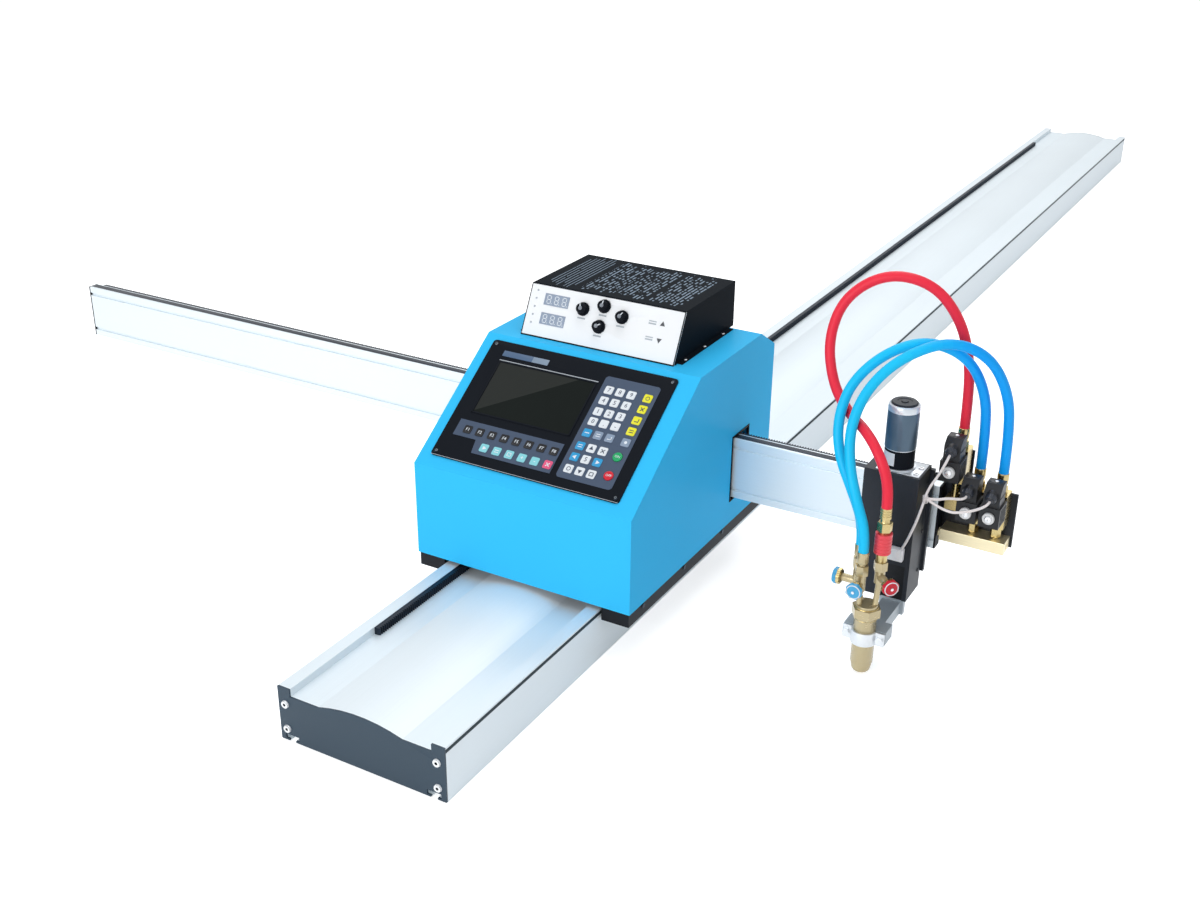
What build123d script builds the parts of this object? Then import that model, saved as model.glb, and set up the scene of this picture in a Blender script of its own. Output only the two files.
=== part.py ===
"""Portable flame and plasma cutting machine on an aluminium floor rail.

A carriage runs along the rail, a cross beam slides through the carriage, and a motor lifter on the
beam raises and lowers a three-hose cutting torch. Units are millimetres, +Z is up, +Y runs along the
rail away from the operator and +X runs along the beam towards the torch. The origin is the centre of
the rail's underside.
"""

from build123d import *
import os
from math import acos, atan2, cos, degrees, pi, radians, sin, sqrt, tan

os.makedirs("parts", exist_ok=True)

# Clearances, and how far a cutting shape reaches past the face it opens
body_gap = 0.3
running_fit = 0.05
seat_fit = 0.02
bolt_clearance = 0.2
overcut = 1.0

# Floor rail
rail_length = 4274.0
rail_width = 291.0
rail_height = 90.0
rail_wall = 3.0
lip_width = 22.0
trough_height = 77.5
crown_half_width = 73.0
crown_rise = 10.8
rail_rib_x = 40.0
rail_web_x = 107.0
slot_x = 125.0
slot_neck_width = 11.5
slot_neck_height = 3.5
slot_width = 24.0
slot_top = 11.0
groove_z = 83.5
groove_depth = 3.5
rail_cap_thickness = 3.0
rail_cap_lift = 0.5
cap_screw_x = 132.5
cap_screw_heights = (21.0, 63.0)
cap_screw_head_radius = 5.6
cap_screw_head_height = 3.0
cap_screw_radius = 2.5
cap_screw_length = 15.0
screw_land = 14.0

# Gear teeth, shared by both racks and both pinions, and the lengths that the racks come in
module = 1.5
pressure_angle = 20.0
pinion_teeth = 20
backlash = 0.2
rack_height = 12.0
rack_joint_gap = 0.2
rail_rack_depth = 10.0
rail_rack_lengths = 7
rail_rack_teeth_each = 116
rail_rack_teeth_in_front = 99
beam_rack_depth = 8.0
beam_rack_lengths = 3
beam_rack_teeth_each = 125
beam_rack_teeth_on_left = 280

# Carriage cover
cover_width = 400.0
cover_front_y = -1729.0
cover_bottom_z = 97.0
cover_front_height = 163.4
cover_top_height = 317.6
cover_slope_run = 222.1
cover_top_end = 452.7
cover_bevel_run = 59.0
cover_bevel_drop = 35.9
cover_wall = 2.0
beam_window_back = 28.0
controller_window_gap = 2.0
rear_socket_xs = (-120.0, -80.0, -40.0)
rear_socket_z = 160.0
rear_socket_radius = 10.0
socket_flange_width = 3.0
socket_flange_thickness = 2.0
socket_collar_height = 8.0
socket_body_depth = 18.0
socket_bore_depth = 6.0
socket_bore_wall = 2.5
power_inlet_x = 60.0
power_inlet_size = (40.0, 24.0)
inlet_flange_size = (48.0, 30.0, 3.0)
inlet_body_depth = 24.0
inlet_recess_size = (28.0, 16.0)
inlet_recess_depth = 15.0

# Small screws of the cover and the panel
small_screw_radius = 2.0
small_screw_length = 8.0
small_screw_head_radius = 4.0
small_screw_head_height = 1.8
cover_screw_z = 110.0
cover_screw_xs = (-150.0, -50.0, 50.0, 150.0)
skirt_screw_z = 90.0
skirt_screw_insets = (48.0, 190.0, 334.0, 470.0)
panel_screw_inset = 7.0
panel_screw_radius = 3.0
panel_screw_height = 1.2

# Chassis and its wheels
chassis_plate = 4.0
skirt_height = 24.0
skirt_wall = 3.0
skirt_inner_x = 149.0
upstand_height = 22.0
upstand_inset = 10.0
wheel_radius = 17.0
wheel_width = 18.0
wheel_side_gap = 2.5
wheel_end_gap = 1.0
axle_radius = 5.0
axle_overhang = 4.0
front_axle_inset = 55.0
rear_axle_inset = 455.0
ear_x = 112.0
ear_thickness = 8.0
ear_half_length = 13.0
side_roller_core = 12.5
side_roller_rim = 16.0
side_roller_height = 15.0
side_roller_insets = (39.0, 473.0)
roller_stud_radius = 4.0

# Rail drive
rail_pinion_y = -1479.0
pinion_lift = 1.5
pinion_shaft_radius = 5.0
shaft_hole_gap = 2.0
coupling_depth = 10.0
motor_radius = 28.0
motor_height = 74.0
gearbox_side = 60.0
gearbox_height = 40.0

# Cross beam
beam_left_x = -1340.0
beam_right_x = 560.0
beam_front_y = -1369.0
beam_depth = 22.0
beam_bottom_z = 146.0
beam_height = 110.5
beam_wall = 2.5
beam_cap_thickness = 3.0
beam_groove_width = 6.0
beam_groove_depth = 3.5
beam_groove_inset = 16.0
beam_window_margin = 5.0

# Beam guide bracket and its rollers
guide_plate_half = 180.0
guide_plate_gap = 10.0
guide_plate_thickness = 6.0
guide_plate_top = 20.0
guide_foot_depth = 15.0
guide_foot_thickness = 5.0
shelf_gap = 5.5
shelf_thickness = 6.0
shelf_margin = 6.0
beam_roller_radius = 12.0
beam_roller_flange = 15.0
beam_roller_flange_width = 3.0
beam_roller_relief = 1.0
beam_roller_x = 150.0
beam_stud_end = 1.0

# Electronics tray, with its power supply and motor drivers
tray_left = -40.0
tray_right = 175.0
tray_front_inset = 21.0
tray_length = 253.0
tray_lift = 25.0
tray_thickness = 3.0
tray_post_inset = 8.0
tray_post_radius = 5.0
supply_size = (199.0, 106.0, 48.0)
supply_inset = (8.0, 6.0)
driver_size = (76.0, 118.0, 33.0)
driver_insets = ((30.0, 125.0), (118.0, 125.0))

# Controller on the sloping face, measured from the slope's lower edge
panel_width = 347.4
panel_length = 235.5
panel_centre = (-5.9, 139.25)
panel_thickness = 3.0
panel_corner = 6.0
housing_size = (326.0, 211.0, 55.0)
housing_wall = 2.5
housing_corner = 3.0
screen_size = (181.0, 101.0)
screen_centre = (-55.5, 165.5)
screen_thickness = 1.5
overlay_thickness = 0.6
overlay_corner = 6.0
right_overlay_centre = (97.5, 137.0)
right_overlay_size = (99.0, 195.0)
left_overlay_outline = [
    (-159.0, 96.5), (37.0, 96.5), (37.0, 41.0), (-110.0, 41.0), (-114.0, 65.5), (-159.0, 65.5)
]
key_side = 14.5
key_rise = 0.9
key_corner = 2.0
number_columns = (64.0, 84.0, 104.5)
number_rows = (209.0, 188.3, 167.0, 147.5, 125.5, 100.5, 79.5, 57.3)
letter_column = 133.5
letter_rows = (209.6, 188.4, 166.8, 145.9, 124.7)
function_keys = 8
function_key_start = -136.8
function_key_step = 23.3
function_key_row = 79.7
edit_keys = 6
edit_key_start = -91.8
edit_key_step = 23.8
edit_key_row = 54.5
key_well_floor = 0.8
round_key_radius = 8.0
round_key_gap = 0.35
round_key_travel = 1.0
round_key_rise = 1.75
start_key_place = (132.0, 97.3)
stop_key_place = (132.7, 62.4)

# Torch height control box
thc_width = 289.2
thc_centre_x = -3.8
thc_front_y = -1488.1
thc_lean = 26.9
thc_height = 79.9
thc_back_y = -1263.1
thc_wall = 1.5
thc_flange = 9.0
thc_flange_front_inset = 14.0
thc_flange_back_inset = 6.0
thc_front_margin = 20.0
thc_panel_thickness = 2.0
thc_bushing_radius = 6.0
thc_bushing_length = 7.0
thc_knob_radius = 10.0
thc_knob_height = 12.0
thc_knob_taper = 6.0
thc_knob_shaft = 3.0
thc_knob_places = ((-38.6, 61.6), (-0.9, 72.8), (35.2, 61.0), (-2.4, 38.1))
thc_window_size = (47.0, 19.5)
thc_window_places = ((-91.1, 66.2), (-91.1, 33.5))
thc_window_depth = 1.0
thc_glass_rise = 0.3

# Torch lifter
lifter_x = 502.0
lifter_width = 88.0
lifter_front_y = -1450.0
lifter_depth = 61.0
lifter_bottom_z = 84.0
lifter_height = 216.0
lifter_wall = 2.5
lifter_top_plate = 4.0
bearing_plate_height = 4.0
mount_plate_thickness = 8.0
mount_plate_bottom_z = 112.0
mount_plate_overhang = 5.0
mount_plate_top_inset = 8.0
groove_key_height = 16.0
groove_key_inset = 8.0
side_screw_heights = (120.0, 190.0, 270.0)
side_screw_inset = 14.0
side_screw_radius = 3.0
side_screw_rise = 1.6
lifter_motor_radius = 24.5
lifter_motor_height = 111.0
motor_flange_height = 4.0
motor_flange_overhang = 2.5
lifter_gearbox_height = 35.0
lifter_gearbox_step = 0.8
motor_lid_height = 4.0
motor_lid_step = 2.0
top_screw_offsets = ((35.0, -18.0), (35.0, 6.0))
top_screw_radius = 4.2
top_screw_height = 3.2
guide_rod_spacing = 48.0
guide_rod_radius = 5.0
screw_radius = 5.0
nut_block_lift = 27.0
nut_block_height = 40.0
nut_block_margin = 10.0
nut_block_back = 14.0
torch_slot_width = 34.0
torch_slot_x = 522.0
torch_arm_width = 30.0
torch_arm_bottom = 57.0
torch_arm_height = 22.0
torch_lift_up = 60.0
torch_strip_width = 40.0
torch_strip_thickness = 10.0
strip_front_gap = 1.0
strip_side_gap = 1.5
strip_back_gap = 2.0
strip_overlap = 2.0
slot_top_gap = 6.0

# Torch
torch_x = 515.0
torch_y = -1549.0
torch_tip_z = 6.0
nozzle_height = 16.0
nozzle_bore_radius = 2.0
nozzle_step = 0.6
nozzle_bevel_height = 3.0
nozzle_bevel_outset = 3.0
nozzle_face_outset = 5.0
barrel_radius = 17.5
barrel_top_z = 104.0
collar_flats = 40.0
collar_height = 15.0
head_plate_height = 5.0
head_plate_inset = 3.0
clamp_band = 3.0
clamp_ear = 34.0
clamp_gap = 1.5
clamp_back_depth = 33.0
clamp_bolt_x = 27.0
clamp_bolt_radius = 3.0
clamp_bolt_length = 16.0
clamp_bolt_flats = 11.0
clamp_bolt_head = 4.5
knob_radius = 13.0
knob_thickness = 12.0
knob_scallops = 8
knob_scallop_radius = 3.0
knob_scallop_offset = 1.6
knob_pin_radius = 3.0
knob_pin_stand = 3.0
fuel_tube = (529.0, -1544.0)
preheat_tube = (492.0, -1534.0)
cutting_tube = (504.0, -1556.0)
valve_axis_heights = {"fuel": 173.5, "preheat": 149.0, "cutting": 159.0}
valve_tubes = {"fuel": fuel_tube, "preheat": preheat_tube, "cutting": cutting_tube}
knob_directions = {"fuel": (1, -1, 0), "preheat": (-1, 0, 0), "cutting": (0, -1, 0)}
knob_reaches = {"fuel": 35.0, "preheat": 32.0, "cutting": 25.0}
tube_radius = 4.5
tube_foot_reach = 12.0
tube_overlap = 2.0
needle_body_radius = 8.0
needle_body_half = 11.0
bonnet_radius = 6.5
neck_radius = 6.0
ferrule_length = 17.0
oxygen_body_bottom_z = 150.0
oxygen_body_top_z = 174.0
oxygen_nut_height = 17.0
oxygen_nut_flats = 18.0
oxygen_hose_end_z = 213.0
fuel_nut_flats = 19.0
fuel_body_top_z = 199.0
fuel_hose_end_z = 289.0
arrestor_foot_radius = 8.5
arrestor_radius = 13.0
arrestor_bottom_z = 214.0
arrestor_top_z = 248.0
arrestor_neck_radius = 8.0
arrestor_nut_z = 251.0
arrestor_nut_height = 15.0
arrestor_nut_flats = 20.0
tail_radius = 7.0
tail_length = 4.0

# Gas valves
valve_y = -1349.0
valve_places = ((579.0, 61.0), (612.0, 0.0), (648.0, 0.0))
manifold_left_x = 564.0
manifold_right_x = 668.0
manifold_bottom_z = 163.0
manifold_height = 20.0
manifold_back_y = -1334.0
manifold_depth = 33.0
manifold_bore_length = 90.0
manifold_bore_radius = 4.0
manifold_plug_flats = 14.0
manifold_plug_height = 3.5
manifold_plug_offset = 6.0
valve_block_z = 205.0
valve_block_height = 57.0
valve_block_width = 28.0
valve_block_depth = 30.0
valve_hose_z = 295.0
valve_nut_height = 12.0
valve_nut_flats = 17.0
valve_ferrule_length = 13.0
union_radius = 5.5
union_nut_flats = 15.0
union_nut_gaps = (2.0, 4.0)
core_radius = 8.0
core_length = 7.0
coil_size = (32.0, 38.0, 34.0)
coil_bottom_z = 226.0
coil_nut_radius = 7.0
coil_nut_height = 4.0
connector_size = (26.0, 30.0, 36.0)
connector_inset = 3.0
connector_bevel = (11.0, 10.0)
gland_tilt = 25.0
gland_length = 17.0
gland_radius = 7.0
gland_collar_radius = 8.5
gland_collar_length = 12.0
gland_rise = 22.0
gland_inset = 8.0
ferrule_radius = 9.0
lead_radius = 1.7
inlet_radius = 5.5
inlet_depth = 14.0
fuel_inlet_radius = 6.5
fuel_inlet_length = 18.0
fuel_inlet_bore = 3.0
fuel_inlet_shoulder = 1.5
tee_x = 577.0
tee_z = 227.0
tee_half = 12.0
tee_height = 20.0
bracket_thickness = 4.0
bracket_inset = 22.0
bracket_overhang = 4.0
bracket_top_z = 256.0
bracket_left_top_z = 262.0
bracket_tower_top_z = 314.0
bracket_tower = (562.0, 596.0)
bracket_hole_gap = 2.0
bracket_foot_insets = (16.0, 6.0)

# Leads, their tie and their plug
tie_place = (558.0, -1449.0, 272.0)
tie_radius = 4.0
tie_length = 10.0
plug_size = (24.0, 11.0, 22.0)
plug_x = 524.0
plug_z = 168.0

# Hoses
hose_radius = 8.0
bend_share = 0.45
fuel_route = [
    (579, -1349, 356), (579, -1349, 404), (576, -1355, 467), (558, -1366, 534), (515, -1379, 587),
    (447, -1394, 597), (388, -1409, 554), (373, -1426, 486), (396, -1448, 422), (437, -1478, 394),
    (476, -1514, 391), (509, -1537, 366), (529, -1544, 325), (529, -1544, 289),
]
preheat_route = [
    (612, -1349, 295), (612, -1349, 350), (609, -1362, 422), (582, -1384, 485), (527, -1413, 511),
    (476, -1445, 494), (435, -1473, 449), (425, -1497, 397), (438, -1518, 345), (473, -1535, 294),
    (492, -1534, 247), (492, -1534, 213),
]
cutting_route = [
    (648, -1349, 295), (648, -1349, 356), (643, -1363, 430), (614, -1389, 495), (560, -1420, 519),
    (504, -1455, 495), (466, -1488, 452), (453, -1518, 398), (464, -1541, 344), (486, -1555, 292),
    (504, -1556, 247), (504, -1556, 213),
]

# Derived places
pitch = pi * module
addendum = module
dedendum = 1.25 * module
pinion_radius = module * pinion_teeth / 2
tooth_thickness = pitch / 2 - backlash / 2
rail_half = rail_width / 2
lip_inner_x = rail_half - lip_width
crown_radius = (crown_half_width**2 + crown_rise**2) / (2 * crown_rise)
crown_centre_z = trough_height + crown_rise - crown_radius
rail_rack_face_x = -lip_inner_x + rail_rack_depth
rail_pinion_x = rail_rack_face_x - addendum + pinion_radius
cover_half = cover_width / 2
cover_back_y = cover_front_y + cover_top_end + cover_bevel_run
cover_top_z = cover_bottom_z + cover_top_height
slope_angle = degrees(atan2(cover_top_height - cover_front_height, cover_slope_run))
chassis_top_z = cover_bottom_z + chassis_plate
chassis_half = cover_half - cover_wall - body_gap
skirt_bottom_z = cover_bottom_z - skirt_height
axle_z = rail_height + body_gap + wheel_radius
wheel_x = rail_half - lip_width / 2
side_roller_x = rail_half - groove_depth + body_gap * sqrt(2) + side_roller_rim
beam_back_y = beam_front_y + beam_depth
beam_top_z = beam_bottom_z + beam_height
beam_rack_face_y = beam_back_y + beam_rack_depth
beam_pinion_y = beam_rack_face_y - addendum + pinion_radius
lifter_back_y = lifter_front_y + lifter_depth
lifter_axis_y = lifter_front_y + lifter_depth / 2
lifter_top_z = lifter_bottom_z + lifter_height
lifter_left = lifter_x - lifter_width / 2
lifter_right = lifter_x + lifter_width / 2
guide_rod_xs = (lifter_x - guide_rod_spacing / 2, lifter_x + guide_rod_spacing / 2)
strip_front_y = lifter_front_y + lifter_wall + strip_front_gap
strip_back_y = strip_front_y + torch_strip_thickness
torch_arm_top = torch_arm_bottom + torch_arm_height
torch_arm_middle = torch_arm_bottom + torch_arm_height / 2
slot_top_z = torch_arm_top + torch_lift_up + slot_top_gap
clamp_bolt_xs = (torch_x - clamp_bolt_x, torch_x + clamp_bolt_x)
coil_back_y = manifold_back_y - valve_block_depth - core_length
coil_front_y = coil_back_y - coil_size[1]
gland_direction = Vector(0, -cos(radians(gland_tilt)), -sin(radians(gland_tilt)))
motor_foot_z = chassis_top_z
slope_plane = Plane(
    origin=(0, cover_front_y, cover_bottom_z + cover_front_height),
    x_dir=(1, 0, 0),
    z_dir=(0, -sin(radians(slope_angle)), cos(radians(slope_angle))),
)
thc_plane = Plane(
    origin=(thc_centre_x, thc_front_y, cover_top_z),
    x_dir=(1, 0, 0),
    z_dir=(0, -cos(radians(thc_lean)), sin(radians(thc_lean))),
)
thc_slope_length = thc_height / cos(radians(thc_lean))
thc_top_front_y = thc_front_y + thc_height * tan(radians(thc_lean))
panel_edge = [
    (
        panel_centre[0] + side * (panel_width / 2 - panel_screw_inset),
        panel_centre[1] + end * (panel_length / 2 - panel_screw_inset),
    )
    for side in (-1, 1)
    for end in (-1, 1)
]

on_base = (Align.CENTER, Align.CENTER, Align.MIN)


def box_between(x0, x1, y0, y1, z0, z1, mode=Mode.ADD):
    """An upright block given by its two corners, in the current part."""
    with Locations(((x0 + x1) / 2, (y0 + y1) / 2, z0)):
        Box(abs(x1 - x0), abs(y1 - y0), z1 - z0, align=on_base, mode=mode)


def upright(x, y, z0, z1, radius, mode=Mode.ADD):
    """An upright cylinder in the current part."""
    with Locations((x, y, z0)):
        Cylinder(radius, z1 - z0, align=on_base, mode=mode)


def rod(start, direction, length, radius, mode=Mode.ADD):
    """A cylinder from a point along any direction in the current part."""
    with Locations(Plane(origin=start, z_dir=direction)):
        Cylinder(radius, length, align=on_base, mode=mode)


def upright_hex(x, y, z0, z1, flats):
    """An upright hexagon nut in the current part, given across its flats."""
    with BuildSketch(Plane.XY.offset(z0)) as hexagon:
        with Locations((x, y)):
            RegularPolygon(flats / 2, 6, major_radius=False)
    extrude(hexagon.sketch, amount=z1 - z0)


def crown_point(x, inset):
    """A point on the rail's arched crown, or on a chamber roof that far below it."""
    return (x, crown_centre_z + sqrt((crown_radius - inset) ** 2 - x**2))


def draw_rail_outline():
    """The rail's outline with its trough and its two T-slots, in the current sketch."""
    with Locations((0, rail_height / 2)):
        Rectangle(rail_width, rail_height)
    with BuildLine() as trough:
        Polyline(
            (-crown_half_width, trough_height),
            (-lip_inner_x, trough_height),
            (-lip_inner_x, rail_height + overcut),
            (lip_inner_x, rail_height + overcut),
            (lip_inner_x, trough_height),
            (crown_half_width, trough_height),
        )
        ThreePointArc(
            (crown_half_width, trough_height),
            (0, trough_height + crown_rise),
            (-crown_half_width, trough_height),
        )
    make_face(trough.edges(), mode=Mode.SUBTRACT)
    with Locations((-slot_x, 0), (slot_x, 0)):
        Rectangle(slot_neck_width, 2 * slot_neck_height, mode=Mode.SUBTRACT)
    with Locations(*[(side * slot_x, (slot_neck_height + slot_top) / 2) for side in (-1, 1)]):
        Rectangle(slot_width, slot_top - slot_neck_height, mode=Mode.SUBTRACT)


def draw_rail_chambers():
    """The hollow chambers between the rail's ribs, cut from the current sketch."""
    roof = trough_height - rail_wall
    floor = rail_wall
    with BuildLine() as middle:
        Polyline(
            crown_point(-rail_rib_x, rail_wall),
            (-rail_rib_x, floor),
            (rail_rib_x, floor),
            crown_point(rail_rib_x, rail_wall),
        )
        ThreePointArc(
            crown_point(rail_rib_x, rail_wall),
            crown_point(0, rail_wall),
            crown_point(-rail_rib_x, rail_wall),
        )
    make_face(middle.edges(), mode=Mode.SUBTRACT)
    rib = rail_rib_x + rail_wall
    slot_wall = slot_top + rail_wall
    arch_end = crown_point(crown_half_width, rail_wall)
    arch_middle = crown_point((crown_half_width + rib) / 2, rail_wall)
    arch_start = crown_point(rib, rail_wall)
    for side in (-1, 1):
        with BuildLine() as wing:
            Polyline(
                (side * arch_start[0], arch_start[1]),
                (side * rib, floor),
                (side * rail_web_x, floor),
                (side * rail_web_x, slot_wall),
                (side * (lip_inner_x - rail_wall), slot_wall),
                (side * (lip_inner_x - rail_wall), roof),
                (side * arch_end[0], arch_end[1]),
            )
            ThreePointArc(
                (side * arch_end[0], arch_end[1]),
                (side * arch_middle[0], arch_middle[1]),
                (side * arch_start[0], arch_start[1]),
            )
        make_face(wing.edges(), mode=Mode.SUBTRACT)
    low, high = cap_screw_heights
    lip_chambers = [
        (low + screw_land / 2, high - screw_land / 2),
        (high + screw_land / 2, groove_z - groove_depth - rail_wall),
    ]
    lip_x = (lip_inner_x + rail_half) / 2
    for bottom, top in lip_chambers:
        with Locations((-lip_x, (bottom + top) / 2), (lip_x, (bottom + top) / 2)):
            Rectangle(lip_width - 2 * rail_wall, top - bottom, mode=Mode.SUBTRACT)


def rack_outline(teeth, depth):
    """Points (along, out) of one rack length, from the middle of a tooth gap to the middle of one."""
    slope = tan(radians(pressure_angle))
    tip_half = tooth_thickness / 2 - addendum * slope
    root_half = tooth_thickness / 2 + dedendum * slope
    root = depth - addendum - dedendum
    start = rack_joint_gap / 2
    end = teeth * pitch - rack_joint_gap / 2
    points = [(start, 0), (start, root)]
    for tooth in range(teeth):
        middle = (tooth + 0.5) * pitch
        points.append((middle - root_half, root))
        points.append((middle - tip_half, depth))
        points.append((middle + tip_half, depth))
        points.append((middle + root_half, root))
    points.append((end, root))
    points.append((end, 0))
    return points


def draw_pinion():
    """The outline of a pinion with one tooth on the +X axis, in the current sketch."""
    base_radius = pinion_radius * cos(radians(pressure_angle))
    tip_radius = pinion_radius + addendum
    root_radius = pinion_radius - dedendum
    flat_angle = tan(radians(pressure_angle)) - radians(pressure_angle)
    half_pitch_angle = tooth_thickness / (2 * pinion_radius) + flat_angle

    def flank_angle(radius):
        roll = acos(base_radius / radius)
        return half_pitch_angle - (tan(roll) - roll)

    def polar(radius, angle):
        return (radius * cos(angle), radius * sin(angle))

    middle_radius = (base_radius + tip_radius) / 2
    base_angle = flank_angle(base_radius)
    middle_angle = flank_angle(middle_radius)
    tip_angle = flank_angle(tip_radius)
    step = 2 * pi / pinion_teeth
    with BuildLine() as outline:
        for tooth in range(pinion_teeth):
            turn = tooth * step
            Line(polar(root_radius, turn - base_angle), polar(base_radius, turn - base_angle))
            ThreePointArc(
                polar(base_radius, turn - base_angle),
                polar(middle_radius, turn - middle_angle),
                polar(tip_radius, turn - tip_angle),
            )
            ThreePointArc(
                polar(tip_radius, turn - tip_angle),
                polar(tip_radius, turn),
                polar(tip_radius, turn + tip_angle),
            )
            ThreePointArc(
                polar(tip_radius, turn + tip_angle),
                polar(middle_radius, turn + middle_angle),
                polar(base_radius, turn + base_angle),
            )
            Line(polar(base_radius, turn + base_angle), polar(root_radius, turn + base_angle))
            ThreePointArc(
                polar(root_radius, turn + base_angle),
                polar(root_radius, turn + step / 2),
                polar(root_radius, turn + step - base_angle),
            )
    make_face(outline.edges())


def bent_wire(points):
    """Straight runs joined by tangent arcs, each arc as large as its two runs allow."""
    radii = []
    for before, here, after in zip(points, points[1:], points[2:]):
        run_in = Vector(*here) - Vector(*before)
        run_out = Vector(*after) - Vector(*here)
        turn = run_in.get_angle(run_out)
        radii.append(bend_share * min(run_in.length, run_out.length) / tan(radians(turn) / 2))
    return FilletPolyline(*points, radius=radii)


# Floor rail: one hollow aluminium extrusion
with BuildPart() as rail_extrusion:
    with BuildSketch(Plane.XZ) as rail_profile:
        draw_rail_outline()
        draw_rail_chambers()
        for side in (-1, 1):
            with BuildLine() as groove:
                Polyline(
                    (side * (rail_half + overcut), groove_z - groove_depth - overcut),
                    (side * (rail_half - groove_depth), groove_z),
                    (side * (rail_half + overcut), groove_z + groove_depth + overcut),
                    close=True,
                )
            make_face(mode=Mode.SUBTRACT)
    extrude(amount=rail_length / 2, both=True)
    for end in (-1, 1):
        for x in (-cap_screw_x, cap_screw_x):
            for z in cap_screw_heights:
                rod(
                    (x, end * rail_length / 2, z),
                    (0, -end, 0),
                    cap_screw_length,
                    cap_screw_radius + bolt_clearance,
                    mode=Mode.SUBTRACT,
                )
rail_extrusion.part.label = "rail_extrusion"
export_step(rail_extrusion.part, "parts/rail_extrusion.step")

# Rail end caps: a thin plate at each end, cut to the rail's outline
with BuildPart() as rail_end_caps:
    for end in (-1, 1):
        outer_end = rail_length / 2 + rail_cap_thickness
        start_y = -rail_length / 2 if end < 0 else outer_end
        with BuildSketch(Plane.XZ.offset(-start_y)) as cap_profile:
            draw_rail_outline()
            with Locations((0, 0)):
                Rectangle(rail_width, 2 * rail_cap_lift, mode=Mode.SUBTRACT)
            with Locations(*[(x, z) for x in (-cap_screw_x, cap_screw_x) for z in cap_screw_heights]):
                Circle(cap_screw_radius + bolt_clearance, mode=Mode.SUBTRACT)
        extrude(amount=rail_cap_thickness)
rail_end_caps.part.label = "rail_end_caps"
export_step(rail_end_caps.part, "parts/rail_end_caps.step")

# Button screws that hold the end caps
with BuildPart() as end_cap_screws:
    for end in (-1, 1):
        face_y = end * (rail_length / 2 + rail_cap_thickness)
        for x in (-cap_screw_x, cap_screw_x):
            for z in cap_screw_heights:
                rod((x, face_y, z), (0, end, 0), cap_screw_head_height, cap_screw_head_radius)
                rod((x, face_y, z), (0, -end, 0), cap_screw_length, cap_screw_radius)
end_cap_screws.part.label = "end_cap_screws"
export_step(end_cap_screws.part, "parts/end_cap_screws.step")

# Rail rack: lengths of rack end to end against the inside of the left lip
rail_rack_start_y = rail_pinion_y - rail_rack_teeth_in_front * pitch
rail_rack_starts = [
    (-lip_inner_x, rail_rack_start_y + length * rail_rack_teeth_each * pitch)
    for length in range(rail_rack_lengths)
]
with BuildPart() as rail_rack:
    with BuildSketch(Plane.XY.offset(trough_height)) as rack_profile:
        with Locations(*rail_rack_starts):
            rack_points = rack_outline(rail_rack_teeth_each, rail_rack_depth)
            Polygon(*[(out, along) for along, out in reversed(rack_points)], align=None)
    extrude(amount=rack_height)
rail_rack.part.label = "rail_rack"
export_step(rail_rack.part, "parts/rail_rack.step")

# Carriage cover: folded sheet, open below, with a window for the controller and one each side for
# the beam
cover_profile = [
    (cover_front_y, cover_bottom_z),
    (cover_front_y, cover_bottom_z + cover_front_height),
    (cover_front_y + cover_slope_run, cover_top_z),
    (cover_front_y + cover_top_end, cover_top_z),
    (cover_back_y, cover_top_z - cover_bevel_drop),
    (cover_back_y, cover_bottom_z),
]
with BuildPart() as cover:
    with BuildSketch(Plane.YZ.offset(-cover_half)) as cover_outside:
        Polygon(*cover_profile, align=None)
    extrude(amount=cover_width)
    with BuildSketch(Plane.YZ.offset(-cover_half + cover_wall)) as cover_inside:
        Polygon(*cover_profile, align=None)
        offset(amount=-cover_wall, kind=Kind.INTERSECTION, mode=Mode.REPLACE)
    extrude(amount=cover_width - 2 * cover_wall, mode=Mode.SUBTRACT)
    box_between(
        -cover_half + cover_wall,
        cover_half - cover_wall,
        cover_front_y + cover_wall,
        cover_back_y - cover_wall,
        cover_bottom_z - overcut,
        cover_bottom_z + 2 * cover_wall,
        mode=Mode.SUBTRACT,
    )
    box_between(
        -cover_half - overcut,
        cover_half + overcut,
        beam_front_y - beam_window_margin,
        beam_rack_face_y + beam_window_back,
        beam_bottom_z - beam_window_margin,
        beam_top_z + beam_window_margin / 2,
        mode=Mode.SUBTRACT,
    )
    with BuildSketch(slope_plane.offset(-2 * cover_wall)) as controller_window:
        with Locations(panel_centre):
            Rectangle(
                housing_size[0] + 2 * controller_window_gap, housing_size[1] + 2 * controller_window_gap
            )
    extrude(amount=3 * cover_wall, mode=Mode.SUBTRACT)
    for x in rear_socket_xs:
        rod(
            (x, cover_back_y + overcut, rear_socket_z),
            (0, -1, 0),
            cover_wall + 2 * overcut,
            rear_socket_radius + bolt_clearance,
            mode=Mode.SUBTRACT,
        )
    box_between(
        power_inlet_x - power_inlet_size[0] / 2 - bolt_clearance,
        power_inlet_x + power_inlet_size[0] / 2 + bolt_clearance,
        cover_back_y - cover_wall - overcut,
        cover_back_y + overcut,
        rear_socket_z - power_inlet_size[1] / 2 - bolt_clearance,
        rear_socket_z + power_inlet_size[1] / 2 + bolt_clearance,
        mode=Mode.SUBTRACT,
    )
    for x in cover_screw_xs:
        rod(
            (x, cover_back_y + overcut, cover_screw_z),
            (0, -1, 0),
            cover_wall + 2 * overcut,
            small_screw_radius + bolt_clearance,
            mode=Mode.SUBTRACT,
        )
cover.part.label = "cover"
export_step(cover.part, "parts/cover.step")

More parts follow.
